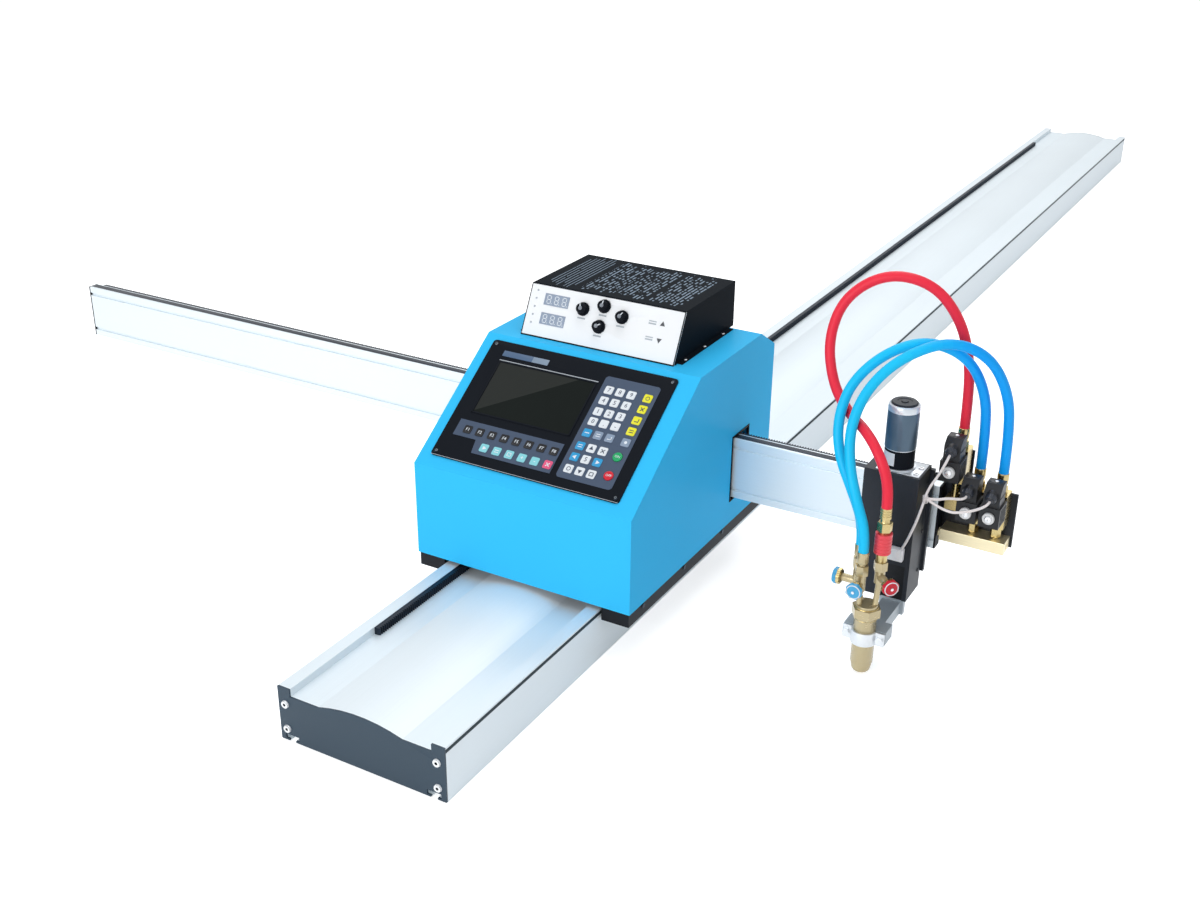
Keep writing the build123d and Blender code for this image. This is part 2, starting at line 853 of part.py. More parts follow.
# Chassis: base plate, a rear upstand for the cover, axle ears, and a hanging skirt channel on each
# side with studs for the side rollers
chassis_front_y = cover_front_y + cover_wall + body_gap
chassis_back_y = cover_back_y - cover_wall - body_gap
axle_ys = (cover_front_y + front_axle_inset, cover_front_y + rear_axle_inset)
ear_top_z = axle_z + ear_half_length
wheel_window = (wheel_width + 2 * wheel_side_gap, 2 * wheel_radius + 2 * wheel_end_gap)
with BuildPart() as chassis:
    box_between(
        -chassis_half, chassis_half, chassis_front_y, chassis_back_y, cover_bottom_z, chassis_top_z
    )
    for y in axle_ys:
        for side in (-1, 1):
            x = side * wheel_x
            box_between(
                x - wheel_window[0] / 2,
                x + wheel_window[0] / 2,
                y - wheel_window[1] / 2,
                y + wheel_window[1] / 2,
                cover_bottom_z - overcut,
                chassis_top_z + overcut,
                mode=Mode.SUBTRACT,
            )
            x = side * ear_x
            box_between(
                x - ear_thickness / 2,
                x + ear_thickness / 2,
                y - ear_half_length,
                y + ear_half_length,
                chassis_top_z,
                ear_top_z,
            )
    box_between(
        -chassis_half + upstand_inset,
        chassis_half - upstand_inset,
        chassis_back_y - skirt_wall,
        chassis_back_y,
        chassis_top_z,
        chassis_top_z + upstand_height,
    )
    for side in (-1, 1):
        outer = side * chassis_half
        inner = side * skirt_inner_x
        box_between(
            min(outer, inner),
            max(outer, inner),
            chassis_front_y,
            chassis_back_y,
            skirt_bottom_z,
            cover_bottom_z,
        )
        channel = sorted((side * (chassis_half - skirt_wall), side * (skirt_inner_x - overcut)))
        box_between(
            channel[0],
            channel[1],
            chassis_front_y + skirt_wall,
            chassis_back_y - skirt_wall,
            skirt_bottom_z + skirt_wall,
            cover_bottom_z,
            mode=Mode.SUBTRACT,
        )
        for inset in side_roller_insets:
            upright(
                side * side_roller_x,
                cover_front_y + inset,
                skirt_bottom_z + skirt_wall,
                cover_bottom_z,
                roller_stud_radius,
            )
        for inset in skirt_screw_insets:
            rod(
                (side * (chassis_half + overcut), cover_front_y + inset, skirt_screw_z),
                (-side, 0, 0),
                skirt_wall + 2 * overcut,
                small_screw_radius + bolt_clearance,
                mode=Mode.SUBTRACT,
            )
    for y in axle_ys:
        rod(
            (-ear_x - ear_thickness, y, axle_z),
            (1, 0, 0),
            2 * (ear_x + ear_thickness),
            axle_radius + running_fit,
            mode=Mode.SUBTRACT,
        )
    upright(
        rail_pinion_x,
        rail_pinion_y,
        cover_bottom_z - overcut,
        chassis_top_z + overcut,
        pinion_shaft_radius + shaft_hole_gap,
        mode=Mode.SUBTRACT,
    )
    for x in cover_screw_xs:
        rod(
            (x, chassis_back_y + overcut, cover_screw_z),
            (0, -1, 0),
            skirt_wall + 2 * overcut,
            small_screw_radius + bolt_clearance,
            mode=Mode.SUBTRACT,
        )
chassis.part.label = "chassis"
export_step(chassis.part, "parts/chassis.step")

# Small black screws along the skirts, at the back of the cover and at the panel's corners
with BuildPart() as cover_screws:
    for side in (-1, 1):
        for inset in skirt_screw_insets:
            seat = (side * chassis_half, cover_front_y + inset, skirt_screw_z)
            rod(seat, (side, 0, 0), small_screw_head_height, small_screw_head_radius)
            rod(seat, (-side, 0, 0), small_screw_length, small_screw_radius)
    for x in cover_screw_xs:
        seat = (x, cover_back_y, cover_screw_z)
        rod(seat, (0, 1, 0), small_screw_head_height, small_screw_head_radius)
        rod(seat, (0, -1, 0), small_screw_length, small_screw_radius)
    with BuildSketch(slope_plane.offset(panel_thickness)) as panel_screw_heads:
        with Locations(*panel_edge):
            Circle(panel_screw_radius)
    extrude(amount=panel_screw_height)
cover_screws.part.label = "cover_screws"
export_step(cover_screws.part, "parts/cover_screws.step")

# Controller face panel, with a pocket for the screen and wells for the two round keys
with BuildPart() as controller_panel:
    with BuildSketch(slope_plane) as panel_shape:
        with Locations(panel_centre):
            RectangleRounded(panel_width, panel_length, panel_corner)
    extrude(amount=panel_thickness)
    with BuildSketch(slope_plane.offset(panel_thickness)) as screen_pocket:
        with Locations(screen_centre):
            Rectangle(*screen_size)
    extrude(amount=-screen_thickness, mode=Mode.SUBTRACT)
    with BuildSketch(slope_plane.offset(panel_thickness)) as key_wells:
        with Locations(start_key_place, stop_key_place):
            Circle(round_key_radius + round_key_gap)
    extrude(amount=key_well_floor - panel_thickness, mode=Mode.SUBTRACT)
controller_panel.part.label = "controller_panel"
export_step(controller_panel.part, "parts/controller_panel.step")

# Controller housing: the folded box behind the panel, which closes it
with BuildPart() as controller_housing:
    with BuildSketch(slope_plane) as housing_shape:
        with Locations(panel_centre):
            RectangleRounded(housing_size[0], housing_size[1], housing_corner)
    extrude(amount=-housing_size[2])
    with BuildSketch(slope_plane) as housing_hollow:
        with Locations(panel_centre):
            Rectangle(housing_size[0] - 2 * housing_wall, housing_size[1] - 2 * housing_wall)
    extrude(amount=housing_wall - housing_size[2], mode=Mode.SUBTRACT)
controller_housing.part.label = "controller_housing"
export_step(controller_housing.part, "parts/controller_housing.step")

# Key overlays: the slate-grey printed sheets around the keys
with BuildPart() as key_overlays:
    with BuildSketch(slope_plane.offset(panel_thickness)) as overlay_shape:
        with Locations(right_overlay_centre):
            RectangleRounded(right_overlay_size[0], right_overlay_size[1], overlay_corner)
        Polygon(*left_overlay_outline, align=None)
        with Locations(start_key_place, stop_key_place):
            Circle(round_key_radius + round_key_gap, mode=Mode.SUBTRACT)
    extrude(amount=overlay_thickness)
key_overlays.part.label = "key_overlays"
export_step(key_overlays.part, "parts/key_overlays.step")

# Membrane keys that stand a little proud of the overlays
key_places = [(x, s) for s in number_rows for x in number_columns]
key_places += [(letter_column, s) for s in letter_rows]
key_places += [
    (function_key_start + i * function_key_step, function_key_row) for i in range(function_keys)
]
key_places += [(edit_key_start + i * edit_key_step, edit_key_row) for i in range(edit_keys)]
with BuildPart() as keypad_keys:
    with BuildSketch(slope_plane.offset(panel_thickness + overlay_thickness)) as key_shapes:
        with Locations(*key_places):
            RectangleRounded(key_side, key_side, key_corner)
    extrude(amount=key_rise)
keypad_keys.part.label = "keypad_keys"
export_step(keypad_keys.part, "parts/keypad_keys.step")

# Round start and stop keys, which press in
round_key_foot = key_well_floor + round_key_travel + round_key_gap
for name, place in (("start_key", start_key_place), ("stop_key", stop_key_place)):
    with BuildPart() as round_key:
        with BuildSketch(slope_plane.offset(round_key_foot)) as key_shape:
            with Locations(place):
                Circle(round_key_radius)
        extrude(amount=panel_thickness + overlay_thickness + round_key_rise - round_key_foot)
    round_key.part.label = name
    export_step(round_key.part, f"parts/{name}.step")

# Torch height control case: folded sheet with side flanges, open at its leaning front
thc_left = thc_centre_x - thc_width / 2
with BuildPart() as thc_case:
    with BuildSketch(Plane.YZ.offset(thc_left)) as case_side:
        Polygon(
            (thc_front_y, cover_top_z),
            (thc_top_front_y, cover_top_z + thc_height),
            (thc_back_y, cover_top_z + thc_height),
            (thc_back_y, cover_top_z),
            align=None,
        )
    extrude(amount=thc_width)
    with BuildSketch(thc_plane.offset(-thc_panel_thickness)) as front_cut:
        with Locations((0, thc_slope_length / 2)):
            Rectangle(thc_width + 2 * overcut, thc_slope_length + 2 * thc_front_margin)
    extrude(amount=thc_panel_thickness + thc_front_margin, mode=Mode.SUBTRACT)
    with BuildSketch(Plane.YZ.offset(thc_left + thc_wall)) as case_inside:
        Polygon(
            (thc_front_y - thc_front_margin, cover_top_z + thc_wall),
            (thc_top_front_y - thc_front_margin, cover_top_z + thc_height - thc_wall),
            (thc_back_y - thc_wall, cover_top_z + thc_height - thc_wall),
            (thc_back_y - thc_wall, cover_top_z + thc_wall),
            align=None,
        )
    extrude(amount=thc_width - 2 * thc_wall, mode=Mode.SUBTRACT)
    for side in (-1, 1):
        edge = thc_centre_x + side * thc_width / 2
        box_between(
            min(edge, edge + side * thc_flange),
            max(edge, edge + side * thc_flange),
            thc_front_y + thc_flange_front_inset,
            cover_front_y + cover_top_end - thc_flange_back_inset,
            cover_top_z,
            cover_top_z + thc_wall,
        )
thc_case.part.label = "thc_case"
export_step(thc_case.part, "parts/thc_case.step")

# White front panel of the height control, with window pockets and knob bushings
thc_panel_lift = thc_panel_thickness * tan(radians(thc_lean)) + running_fit
with BuildPart() as thc_front_panel:
    with BuildSketch(thc_plane.offset(-thc_panel_thickness)) as front_shape:
        with Locations((0, (thc_panel_lift + thc_slope_length) / 2)):
            Rectangle(thc_width, thc_slope_length - thc_panel_lift)
    extrude(amount=thc_panel_thickness)
    with BuildSketch(thc_plane.offset(-thc_panel_thickness)) as bushing_shape:
        with Locations(*thc_knob_places):
            Circle(thc_bushing_radius)
    extrude(amount=-thc_bushing_length)
    with BuildSketch(thc_plane.offset(overcut)) as knob_holes:
        with Locations(*thc_knob_places):
            Circle(thc_knob_shaft + running_fit)
    extrude(amount=-thc_panel_thickness - thc_bushing_length - 2 * overcut, mode=Mode.SUBTRACT)
    with BuildSketch(thc_plane) as window_pockets:
        with Locations(*thc_window_places):
            Rectangle(*thc_window_size)
    extrude(amount=-thc_window_depth, mode=Mode.SUBTRACT)
thc_front_panel.part.label = "thc_front_panel"
export_step(thc_front_panel.part, "parts/thc_front_panel.step")

# Four height control knobs, each with its own shaft
for number, place in enumerate(thc_knob_places, start=1):
    with BuildPart() as thc_knob:
        with BuildSketch(thc_plane.offset(body_gap)) as knob_base:
            with Locations(place):
                Circle(thc_knob_radius)
        extrude(amount=thc_knob_height, taper=thc_knob_taper)
        with BuildSketch(thc_plane.offset(body_gap)) as knob_shaft:
            with Locations(place):
                Circle(thc_knob_shaft)
        extrude(amount=-thc_panel_thickness - thc_bushing_length)
    thc_knob.part.label = f"thc_knob_{number}"
    export_step(thc_knob.part, f"parts/thc_knob_{number}.step")

# Display windows: the controller's screen and the two number displays
with BuildPart() as display_windows:
    with BuildSketch(slope_plane.offset(panel_thickness - screen_thickness)) as screen_glass:
        with Locations(screen_centre):
            Rectangle(*screen_size)
    extrude(amount=screen_thickness)
    with BuildSketch(thc_plane.offset(-thc_window_depth)) as number_glass:
        with Locations(*thc_window_places):
            Rectangle(*thc_window_size)
    extrude(amount=thc_window_depth + thc_glass_rise)
display_windows.part.label = "display_windows"
export_step(display_windows.part, "parts/display_windows.step")

# Rail drive motor: gearbox on the base plate with its shaft bore facing down
with BuildPart() as rail_drive_motor:
    box_between(
        rail_pinion_x - gearbox_side / 2,
        rail_pinion_x + gearbox_side / 2,
        rail_pinion_y - gearbox_side / 2,
        rail_pinion_y + gearbox_side / 2,
        motor_foot_z,
        motor_foot_z + gearbox_height,
    )
    upright(
        rail_pinion_x,
        rail_pinion_y,
        motor_foot_z + gearbox_height,
        motor_foot_z + gearbox_height + motor_height,
        motor_radius,
    )
    upright(
        rail_pinion_x,
        rail_pinion_y,
        motor_foot_z,
        motor_foot_z + coupling_depth,
        pinion_shaft_radius + running_fit,
        mode=Mode.SUBTRACT,
    )
rail_drive_motor.part.label = "rail_drive_motor"
export_step(rail_drive_motor.part, "parts/rail_drive_motor.step")

# Rail pinion with its shaft
with BuildPart() as rail_pinion:
    with BuildSketch(Plane.XY.offset(trough_height + pinion_lift)) as pinion_shape:
        with Locations((rail_pinion_x, rail_pinion_y)):
            Circle(pinion_radius - dedendum)
    extrude(amount=rack_height)
    with BuildSketch(
        Plane(origin=(rail_pinion_x, rail_pinion_y, trough_height + pinion_lift))
    ) as toothed_shape:
        draw_pinion()
    extrude(amount=rack_height)
    upright(
        rail_pinion_x,
        rail_pinion_y,
        trough_height + pinion_lift + rack_height,
        motor_foot_z + coupling_depth - body_gap,
        pinion_shaft_radius,
    )
rail_pinion.part.label = "rail_pinion"
export_step(rail_pinion.part, "parts/rail_pinion.step")

# Wheelsets: an axle with two wheels that run on top of the rail's lips
axle_half = rail_half + axle_overhang
for name, y in (("front_wheelset", axle_ys[0]), ("rear_wheelset", axle_ys[1])):
    with BuildPart() as wheelset:
        rod((-axle_half, y, axle_z), (1, 0, 0), 2 * axle_half, axle_radius)
        for side in (-1, 1):
            rod((side * wheel_x - wheel_width / 2, y, axle_z), (1, 0, 0), wheel_width, wheel_radius)
    wheelset.part.label = name
    export_step(wheelset.part, f"parts/{name}.step")

# Side rollers with a V rim that runs in the groove along each side of the rail
roller_number = 0
for side in (-1, 1):
    for inset in side_roller_insets:
        roller_number += 1
        x = side * side_roller_x
        y = cover_front_y + inset
        bottom = groove_z - side_roller_height / 2
        top = groove_z + side_roller_height / 2
        rim = side_roller_rim - side_roller_core
        with BuildPart() as side_roller:
            with BuildSketch(Plane(origin=(x, y, 0), x_dir=(1, 0, 0), z_dir=(0, -1, 0))) as section:
                with BuildLine() as outline:
                    Polyline(
                        (roller_stud_radius + running_fit, bottom),
                        (side_roller_core, bottom),
                        (side_roller_core, groove_z - rim),
                        (side_roller_rim, groove_z),
                        (side_roller_core, groove_z + rim),
                        (side_roller_core, top),
                        (roller_stud_radius + running_fit, top),
                        close=True,
                    )
                make_face()
            revolve(axis=Axis((x, y, 0), (0, 0, 1)))
        side_roller.part.label = f"side_roller_{roller_number}"
        export_step(side_roller.part, f"parts/side_roller_{roller_number}.step")

# Beam guide bracket: an upright plate in front of the beam with a shelf over it, and a stud for
# each of the four beam rollers
guide_plate_back = beam_front_y - guide_plate_gap
guide_plate_front = guide_plate_back - guide_plate_thickness
shelf_bottom_z = beam_top_z + shelf_gap
shelf_top_z = shelf_bottom_z + shelf_thickness
shelf_half = gearbox_side / 2 + shelf_margin
top_roller_z = beam_top_z + body_gap + beam_roller_radius
bottom_roller_z = beam_bottom_z - body_gap - beam_roller_radius
with BuildPart() as beam_guide_bracket:
    box_between(
        -guide_plate_half,
        guide_plate_half,
        guide_plate_front,
        guide_plate_back,
        chassis_top_z,
        top_roller_z + guide_plate_top,
    )
    box_between(
        -guide_plate_half,
        guide_plate_half,
        guide_plate_front - guide_foot_depth,
        guide_plate_front,
        chassis_top_z,
        chassis_top_z + guide_foot_thickness,
    )
    box_between(
        -shelf_half, shelf_half, guide_plate_back, beam_pinion_y + shelf_half, shelf_bottom_z, shelf_top_z
    )
    for x in (-beam_roller_x, beam_roller_x):
        for z in (top_roller_z, bottom_roller_z):
            stud_length = guide_plate_gap + beam_depth + beam_stud_end
            rod((x, guide_plate_back, z), (0, 1, 0), stud_length, roller_stud_radius)
    upright(
        0,
        beam_pinion_y,
        shelf_bottom_z - overcut,
        shelf_top_z + overcut,
        pinion_shaft_radius + shaft_hole_gap,
        mode=Mode.SUBTRACT,
    )
beam_guide_bracket.part.label = "beam_guide_bracket"
export_step(beam_guide_bracket.part, "parts/beam_guide_bracket.step")

# Beam rollers with a front flange
flange_back_y = beam_front_y - body_gap
roller_number = 0
for z in (top_roller_z, bottom_roller_z):
    for x in (-beam_roller_x, beam_roller_x):
        roller_number += 1
        with BuildPart() as beam_roller:
            rod((x, beam_front_y, z), (0, 1, 0), beam_depth, beam_roller_radius)
            rod((x, flange_back_y, z), (0, -1, 0), beam_roller_flange_width, beam_roller_flange)
            rod((x, flange_back_y, z), (0, 1, 0), body_gap, beam_roller_radius - beam_roller_relief)
            rod(
                (x, flange_back_y - beam_roller_flange_width - overcut, z),
                (0, 1, 0),
                body_gap + beam_roller_flange_width + beam_depth + 2 * overcut,
                roller_stud_radius + running_fit,
                mode=Mode.SUBTRACT,
            )
        beam_roller.part.label = f"beam_roller_{roller_number}"
        export_step(beam_roller.part, f"parts/beam_roller_{roller_number}.step")

# Beam drive motor on the shelf, with its shaft bore facing down
with BuildPart() as beam_drive_motor:
    box_between(
        -gearbox_side / 2,
        gearbox_side / 2,
        beam_pinion_y - gearbox_side / 2,
        beam_pinion_y + gearbox_side / 2,
        shelf_top_z,
        shelf_top_z + gearbox_height,
    )
    upright(
        0,
        beam_pinion_y,
        shelf_top_z + gearbox_height,
        shelf_top_z + gearbox_height + motor_height,
        motor_radius,
    )
    upright(
        0,
        beam_pinion_y,
        shelf_top_z,
        shelf_top_z + coupling_depth,
        pinion_shaft_radius + running_fit,
        mode=Mode.SUBTRACT,
    )
beam_drive_motor.part.label = "beam_drive_motor"
export_step(beam_drive_motor.part, "parts/beam_drive_motor.step")

# Beam pinion with its shaft
with BuildPart() as beam_pinion:
    with BuildSketch(Plane(origin=(0, beam_pinion_y, beam_top_z - rack_height))) as toothed_shape:
        draw_pinion()
    extrude(amount=rack_height)
    upright(
        0,
        beam_pinion_y,
        beam_top_z,
        shelf_top_z + coupling_depth - body_gap,
        pinion_shaft_radius,
    )
beam_pinion.part.label = "beam_pinion"
export_step(beam_pinion.part, "parts/beam_pinion.step")

# Electronics tray: plate on four posts with a power supply and two motor drivers
tray_front_y = cover_front_y + tray_front_inset
tray_back_y = tray_front_y + tray_length
tray_z = chassis_top_z + tray_lift
tray_top_z = tray_z + tray_thickness
tray_blocks = [(supply_size, supply_inset)] + [(driver_size, inset) for inset in driver_insets]
with BuildPart() as electronics_tray:
    box_between(tray_left, tray_right, tray_front_y, tray_back_y, tray_z, tray_top_z)
    for x in (tray_left + tray_post_inset, tray_right - tray_post_inset):
        for y in (tray_front_y + tray_post_inset, tray_back_y - tray_post_inset):
            upright(x, y, chassis_top_z, tray_z, tray_post_radius)
    for block, inset in tray_blocks:
        left = tray_left + inset[0]
        front = tray_front_y + inset[1]
        box_between(left, left + block[0], front, front + block[1], tray_top_z, tray_top_z + block[2])
electronics_tray.part.label = "electronics_tray"
export_step(electronics_tray.part, "parts/electronics_tray.step")

# Sockets on the back of the cover: three round ones and the power inlet
socket_face_y = cover_back_y + socket_flange_thickness
socket_end_y = socket_face_y + socket_collar_height
inlet_half = (power_inlet_size[0] / 2, power_inlet_size[1] / 2)
inlet_flange_half = (inlet_flange_size[0] / 2, inlet_flange_size[1] / 2)
inlet_recess_half = (inlet_recess_size[0] / 2, inlet_recess_size[1] / 2)
with BuildPart() as rear_sockets:
    for x in rear_socket_xs:
        on_cover = (x, cover_back_y, rear_socket_z)
        rod(on_cover, (0, 1, 0), socket_flange_thickness, rear_socket_radius + socket_flange_width)
        rod((x, socket_face_y, rear_socket_z), (0, 1, 0), socket_collar_height, rear_socket_radius)
        rod(on_cover, (0, -1, 0), socket_body_depth, rear_socket_radius)
        rod(
            (x, socket_end_y, rear_socket_z),
            (0, -1, 0),
            socket_bore_depth,
            rear_socket_radius - socket_bore_wall,
            mode=Mode.SUBTRACT,
        )
    box_between(
        power_inlet_x - inlet_flange_half[0],
        power_inlet_x + inlet_flange_half[0],
        cover_back_y,
        cover_back_y + inlet_flange_size[2],
        rear_socket_z - inlet_flange_half[1],
        rear_socket_z + inlet_flange_half[1],
    )
    box_between(
        power_inlet_x - inlet_half[0],
        power_inlet_x + inlet_half[0],
        cover_back_y - inlet_body_depth,
        cover_back_y,
        rear_socket_z - inlet_half[1],
        rear_socket_z + inlet_half[1],
    )
    box_between(
        power_inlet_x - inlet_recess_half[0],
        power_inlet_x + inlet_recess_half[0],
        cover_back_y - inlet_recess_depth,
        cover_back_y + inlet_flange_size[2],
        rear_socket_z - inlet_recess_half[1],
        rear_socket_z + inlet_recess_half[1],
        mode=Mode.SUBTRACT,
    )
rear_sockets.part.label = "rear_sockets"
export_step(rear_sockets.part, "parts/rear_sockets.step")

# Cross beam: a flat hollow extrusion on edge, with a shallow groove along each edge of its front
beam_inner_left = beam_left_x + beam_cap_thickness
beam_inner_right = beam_right_x - beam_cap_thickness
beam_mid_y = beam_front_y + beam_depth / 2
with BuildPart() as beam_extrusion:
    with BuildSketch(Plane.YZ.offset(beam_inner_left)) as beam_profile:
        with Locations((beam_mid_y, beam_bottom_z + beam_height / 2)):
            Rectangle(beam_depth, beam_height)
        for z in (beam_bottom_z + beam_groove_inset, beam_top_z - beam_groove_inset):
            with Locations((beam_front_y, z)):
                Rectangle(2 * beam_groove_depth, beam_groove_width, mode=Mode.SUBTRACT)
        clear = beam_groove_inset + beam_groove_width / 2 + beam_wall
        edge_chamber = beam_groove_inset - beam_groove_width / 2 - 2 * beam_wall
        with Locations((beam_mid_y, beam_bottom_z + beam_height / 2)):
            Rectangle(beam_depth - 2 * beam_wall, beam_height - 2 * clear, mode=Mode.SUBTRACT)
        for z in (beam_bottom_z + beam_wall + edge_chamber / 2, beam_top_z - beam_wall - edge_chamber / 2):
            with Locations((beam_mid_y, z)):
                Rectangle(beam_depth - 2 * beam_wall, edge_chamber, mode=Mode.SUBTRACT)
    extrude(amount=beam_inner_right - beam_inner_left)
beam_extrusion.part.label = "beam_extrusion"
export_step(beam_extrusion.part, "parts/beam_extrusion.step")

# Beam rack: three lengths along the top of the beam's back
beam_rack_start_x = -beam_rack_teeth_on_left * pitch
beam_rack_starts = [
    (beam_rack_start_x + length * beam_rack_teeth_each * pitch, beam_back_y)
    for length in range(beam_rack_lengths)
]
with BuildPart() as beam_rack:
    with BuildSketch(Plane.XY.offset(beam_top_z - rack_height)) as rack_profile:
        with Locations(*beam_rack_starts):
            Polygon(*rack_outline(beam_rack_teeth_each, beam_rack_depth), align=None)
    extrude(amount=rack_height)
beam_rack.part.label = "beam_rack"
export_step(beam_rack.part, "parts/beam_rack.step")

# Beam end caps
with BuildPart() as beam_end_caps:
    for x0, x1 in ((beam_left_x, beam_inner_left), (beam_inner_right, beam_right_x)):
        box_between(x0, x1, beam_front_y, beam_back_y, beam_bottom_z, beam_top_z)
beam_end_caps.part.label = "beam_end_caps"
export_step(beam_end_caps.part, "parts/beam_end_caps.step")

# Lifter housing: a closed box with a slot in its front, a bottom bearing plate and the plate that
# bolts it to the beam
with BuildPart() as lifter_housing:
    box_between(lifter_left, lifter_right, lifter_front_y, lifter_back_y, lifter_bottom_z, lifter_top_z)
    box_between(
        lifter_left + lifter_wall,
        lifter_right - lifter_wall,
        lifter_front_y + lifter_wall,
        lifter_back_y - lifter_wall,
        lifter_bottom_z + bearing_plate_height,
        lifter_top_z - lifter_top_plate,
        mode=Mode.SUBTRACT,
    )
    box_between(
        torch_slot_x - torch_strip_width / 2 - strip_side_gap,
        lifter_right - lifter_wall,
        lifter_front_y + lifter_wall,
        strip_back_y + strip_back_gap,
        lifter_bottom_z - overcut,
        lifter_bottom_z + bearing_plate_height,
        mode=Mode.SUBTRACT,
    )
    box_between(
        torch_slot_x - torch_slot_width / 2,
        torch_slot_x + torch_slot_width / 2,
        lifter_front_y - overcut,
        lifter_front_y + lifter_wall,
        lifter_bottom_z - overcut,
        slot_top_z,
        mode=Mode.SUBTRACT,
    )
    bores = [(x, guide_rod_radius + seat_fit) for x in guide_rod_xs]
    bores.append((lifter_x, screw_radius + running_fit))
    for x, bore_radius in bores:
        upright(
            x,
            lifter_axis_y,
            lifter_bottom_z - overcut,
            lifter_top_z + overcut,
            bore_radius,
            mode=Mode.SUBTRACT,
        )
    box_between(
        lifter_left - mount_plate_overhang,
        lifter_right + mount_plate_overhang,
        lifter_back_y,
        lifter_back_y + mount_plate_thickness,
        mount_plate_bottom_z,
        lifter_top_z - mount_plate_top_inset,
    )
    for z in (beam_bottom_z + beam_groove_inset, beam_top_z - beam_groove_inset):
        box_between(
            lifter_left + groove_key_inset,
            lifter_right - groove_key_inset,
            lifter_back_y + mount_plate_thickness,
            beam_front_y,
            z - groove_key_height / 2,
            z + groove_key_height / 2,
        )
    for z in side_screw_heights:
        seat = (lifter_right, lifter_back_y - side_screw_inset, z)
        rod(seat, (1, 0, 0), side_screw_rise, side_screw_radius)
lifter_housing.part.label = "lifter_housing"
export_step(lifter_housing.part, "parts/lifter_housing.step")

# Lifter motor on top of the housing: flange, gearbox, can and lid, and two screws beside it
motor_steps = [
    (0, motor_flange_height, lifter_motor_radius + motor_flange_overhang),
    (motor_flange_height, lifter_gearbox_height, lifter_motor_radius - lifter_gearbox_step),
    (lifter_gearbox_height, lifter_motor_height - motor_lid_height, lifter_motor_radius),
    (
        lifter_motor_height - motor_lid_height,
        lifter_motor_height,
        lifter_motor_radius - motor_lid_step,
    ),
]
with BuildPart() as lifter_motor:
    for bottom, top, radius in motor_steps:
        upright(lifter_x, lifter_axis_y, lifter_top_z + bottom, lifter_top_z + top, radius)
    upright(
        lifter_x,
        lifter_axis_y,
        lifter_top_z,
        lifter_top_z + coupling_depth,
        screw_radius + running_fit,
        mode=Mode.SUBTRACT,
    )
    for dx, dy in top_screw_offsets:
        upright(
            lifter_x + dx,
            lifter_axis_y + dy,
            lifter_top_z,
            lifter_top_z + top_screw_height,
            top_screw_radius,
        )
lifter_motor.part.label = "lifter_motor"
export_step(lifter_motor.part, "parts/lifter_motor.step")

# Two guide rods inside the lifter
with BuildPart() as lifter_guide_rods:
    for x in guide_rod_xs:
        upright(x, lifter_axis_y, lifter_bottom_z, lifter_top_z, guide_rod_radius)
lifter_guide_rods.part.label = "lifter_guide_rods"
export_step(lifter_guide_rods.part, "parts/lifter_guide_rods.step")

# Lead screw from the bottom bearing up into the motor
with BuildPart() as lead_screw:
    upright(
        lifter_x,
        lifter_axis_y,
        lifter_bottom_z + body_gap,
        lifter_top_z + coupling_depth - body_gap,
        screw_radius,
    )
lead_screw.part.label = "lead_screw"
export_step(lead_screw.part, "parts/lead_screw.step")

# Torch carriage: nut block on the rods, the strip behind the slot, the arm and the clamp's back half
block_bottom = torch_arm_top + nut_block_lift
block_top = block_bottom + nut_block_height
block_half = guide_rod_spacing / 2 + nut_block_margin
clamp_back_y = torch_y + clamp_back_depth
strip_right = min(
    torch_slot_x + torch_strip_width / 2, lifter_right - lifter_wall - body_gap - strip_front_gap
)
with BuildPart() as torch_carriage:
    box_between(
        lifter_x - block_half,
        lifter_x + block_half,
        strip_back_y,
        lifter_axis_y + nut_block_back,
        block_bottom,
        block_top,
    )
    box_between(
        torch_slot_x - torch_strip_width / 2,
        strip_right,
        strip_front_y,
        strip_back_y,
        torch_arm_bottom,
        slot_top_z + strip_overlap,
    )
    box_between(
        torch_slot_x - torch_arm_width / 2,
        torch_slot_x + torch_arm_width / 2,
        clamp_back_y,
        strip_front_y,
        torch_arm_bottom,
        torch_arm_top,
    )
    box_between(
        torch_x - clamp_ear,
        torch_x + clamp_ear,
        torch_y + clamp_gap,
        clamp_back_y,
        torch_arm_bottom,
        torch_arm_top,
    )
    bores = [(x, guide_rod_radius + running_fit) for x in guide_rod_xs]
    bores.append((lifter_x, screw_radius + running_fit))
    for x, bore_radius in bores:
        upright(
            x,
            lifter_axis_y,
            block_bottom - overcut,
            block_top + overcut,
            bore_radius,
            mode=Mode.SUBTRACT,
        )
    upright(
        torch_x,
        torch_y,
        torch_arm_bottom - overcut,
        torch_arm_top + overcut,
        barrel_radius + seat_fit,
        mode=Mode.SUBTRACT,
    )
    for x in clamp_bolt_xs:
        rod(
            (x, torch_y, torch_arm_middle),
            (0, 1, 0),
            clamp_bolt_length,
            clamp_bolt_radius + bolt_clearance,
            mode=Mode.SUBTRACT,
        )
torch_carriage.part.label = "torch_carriage"
export_step(torch_carriage.part, "parts/torch_carriage.step")

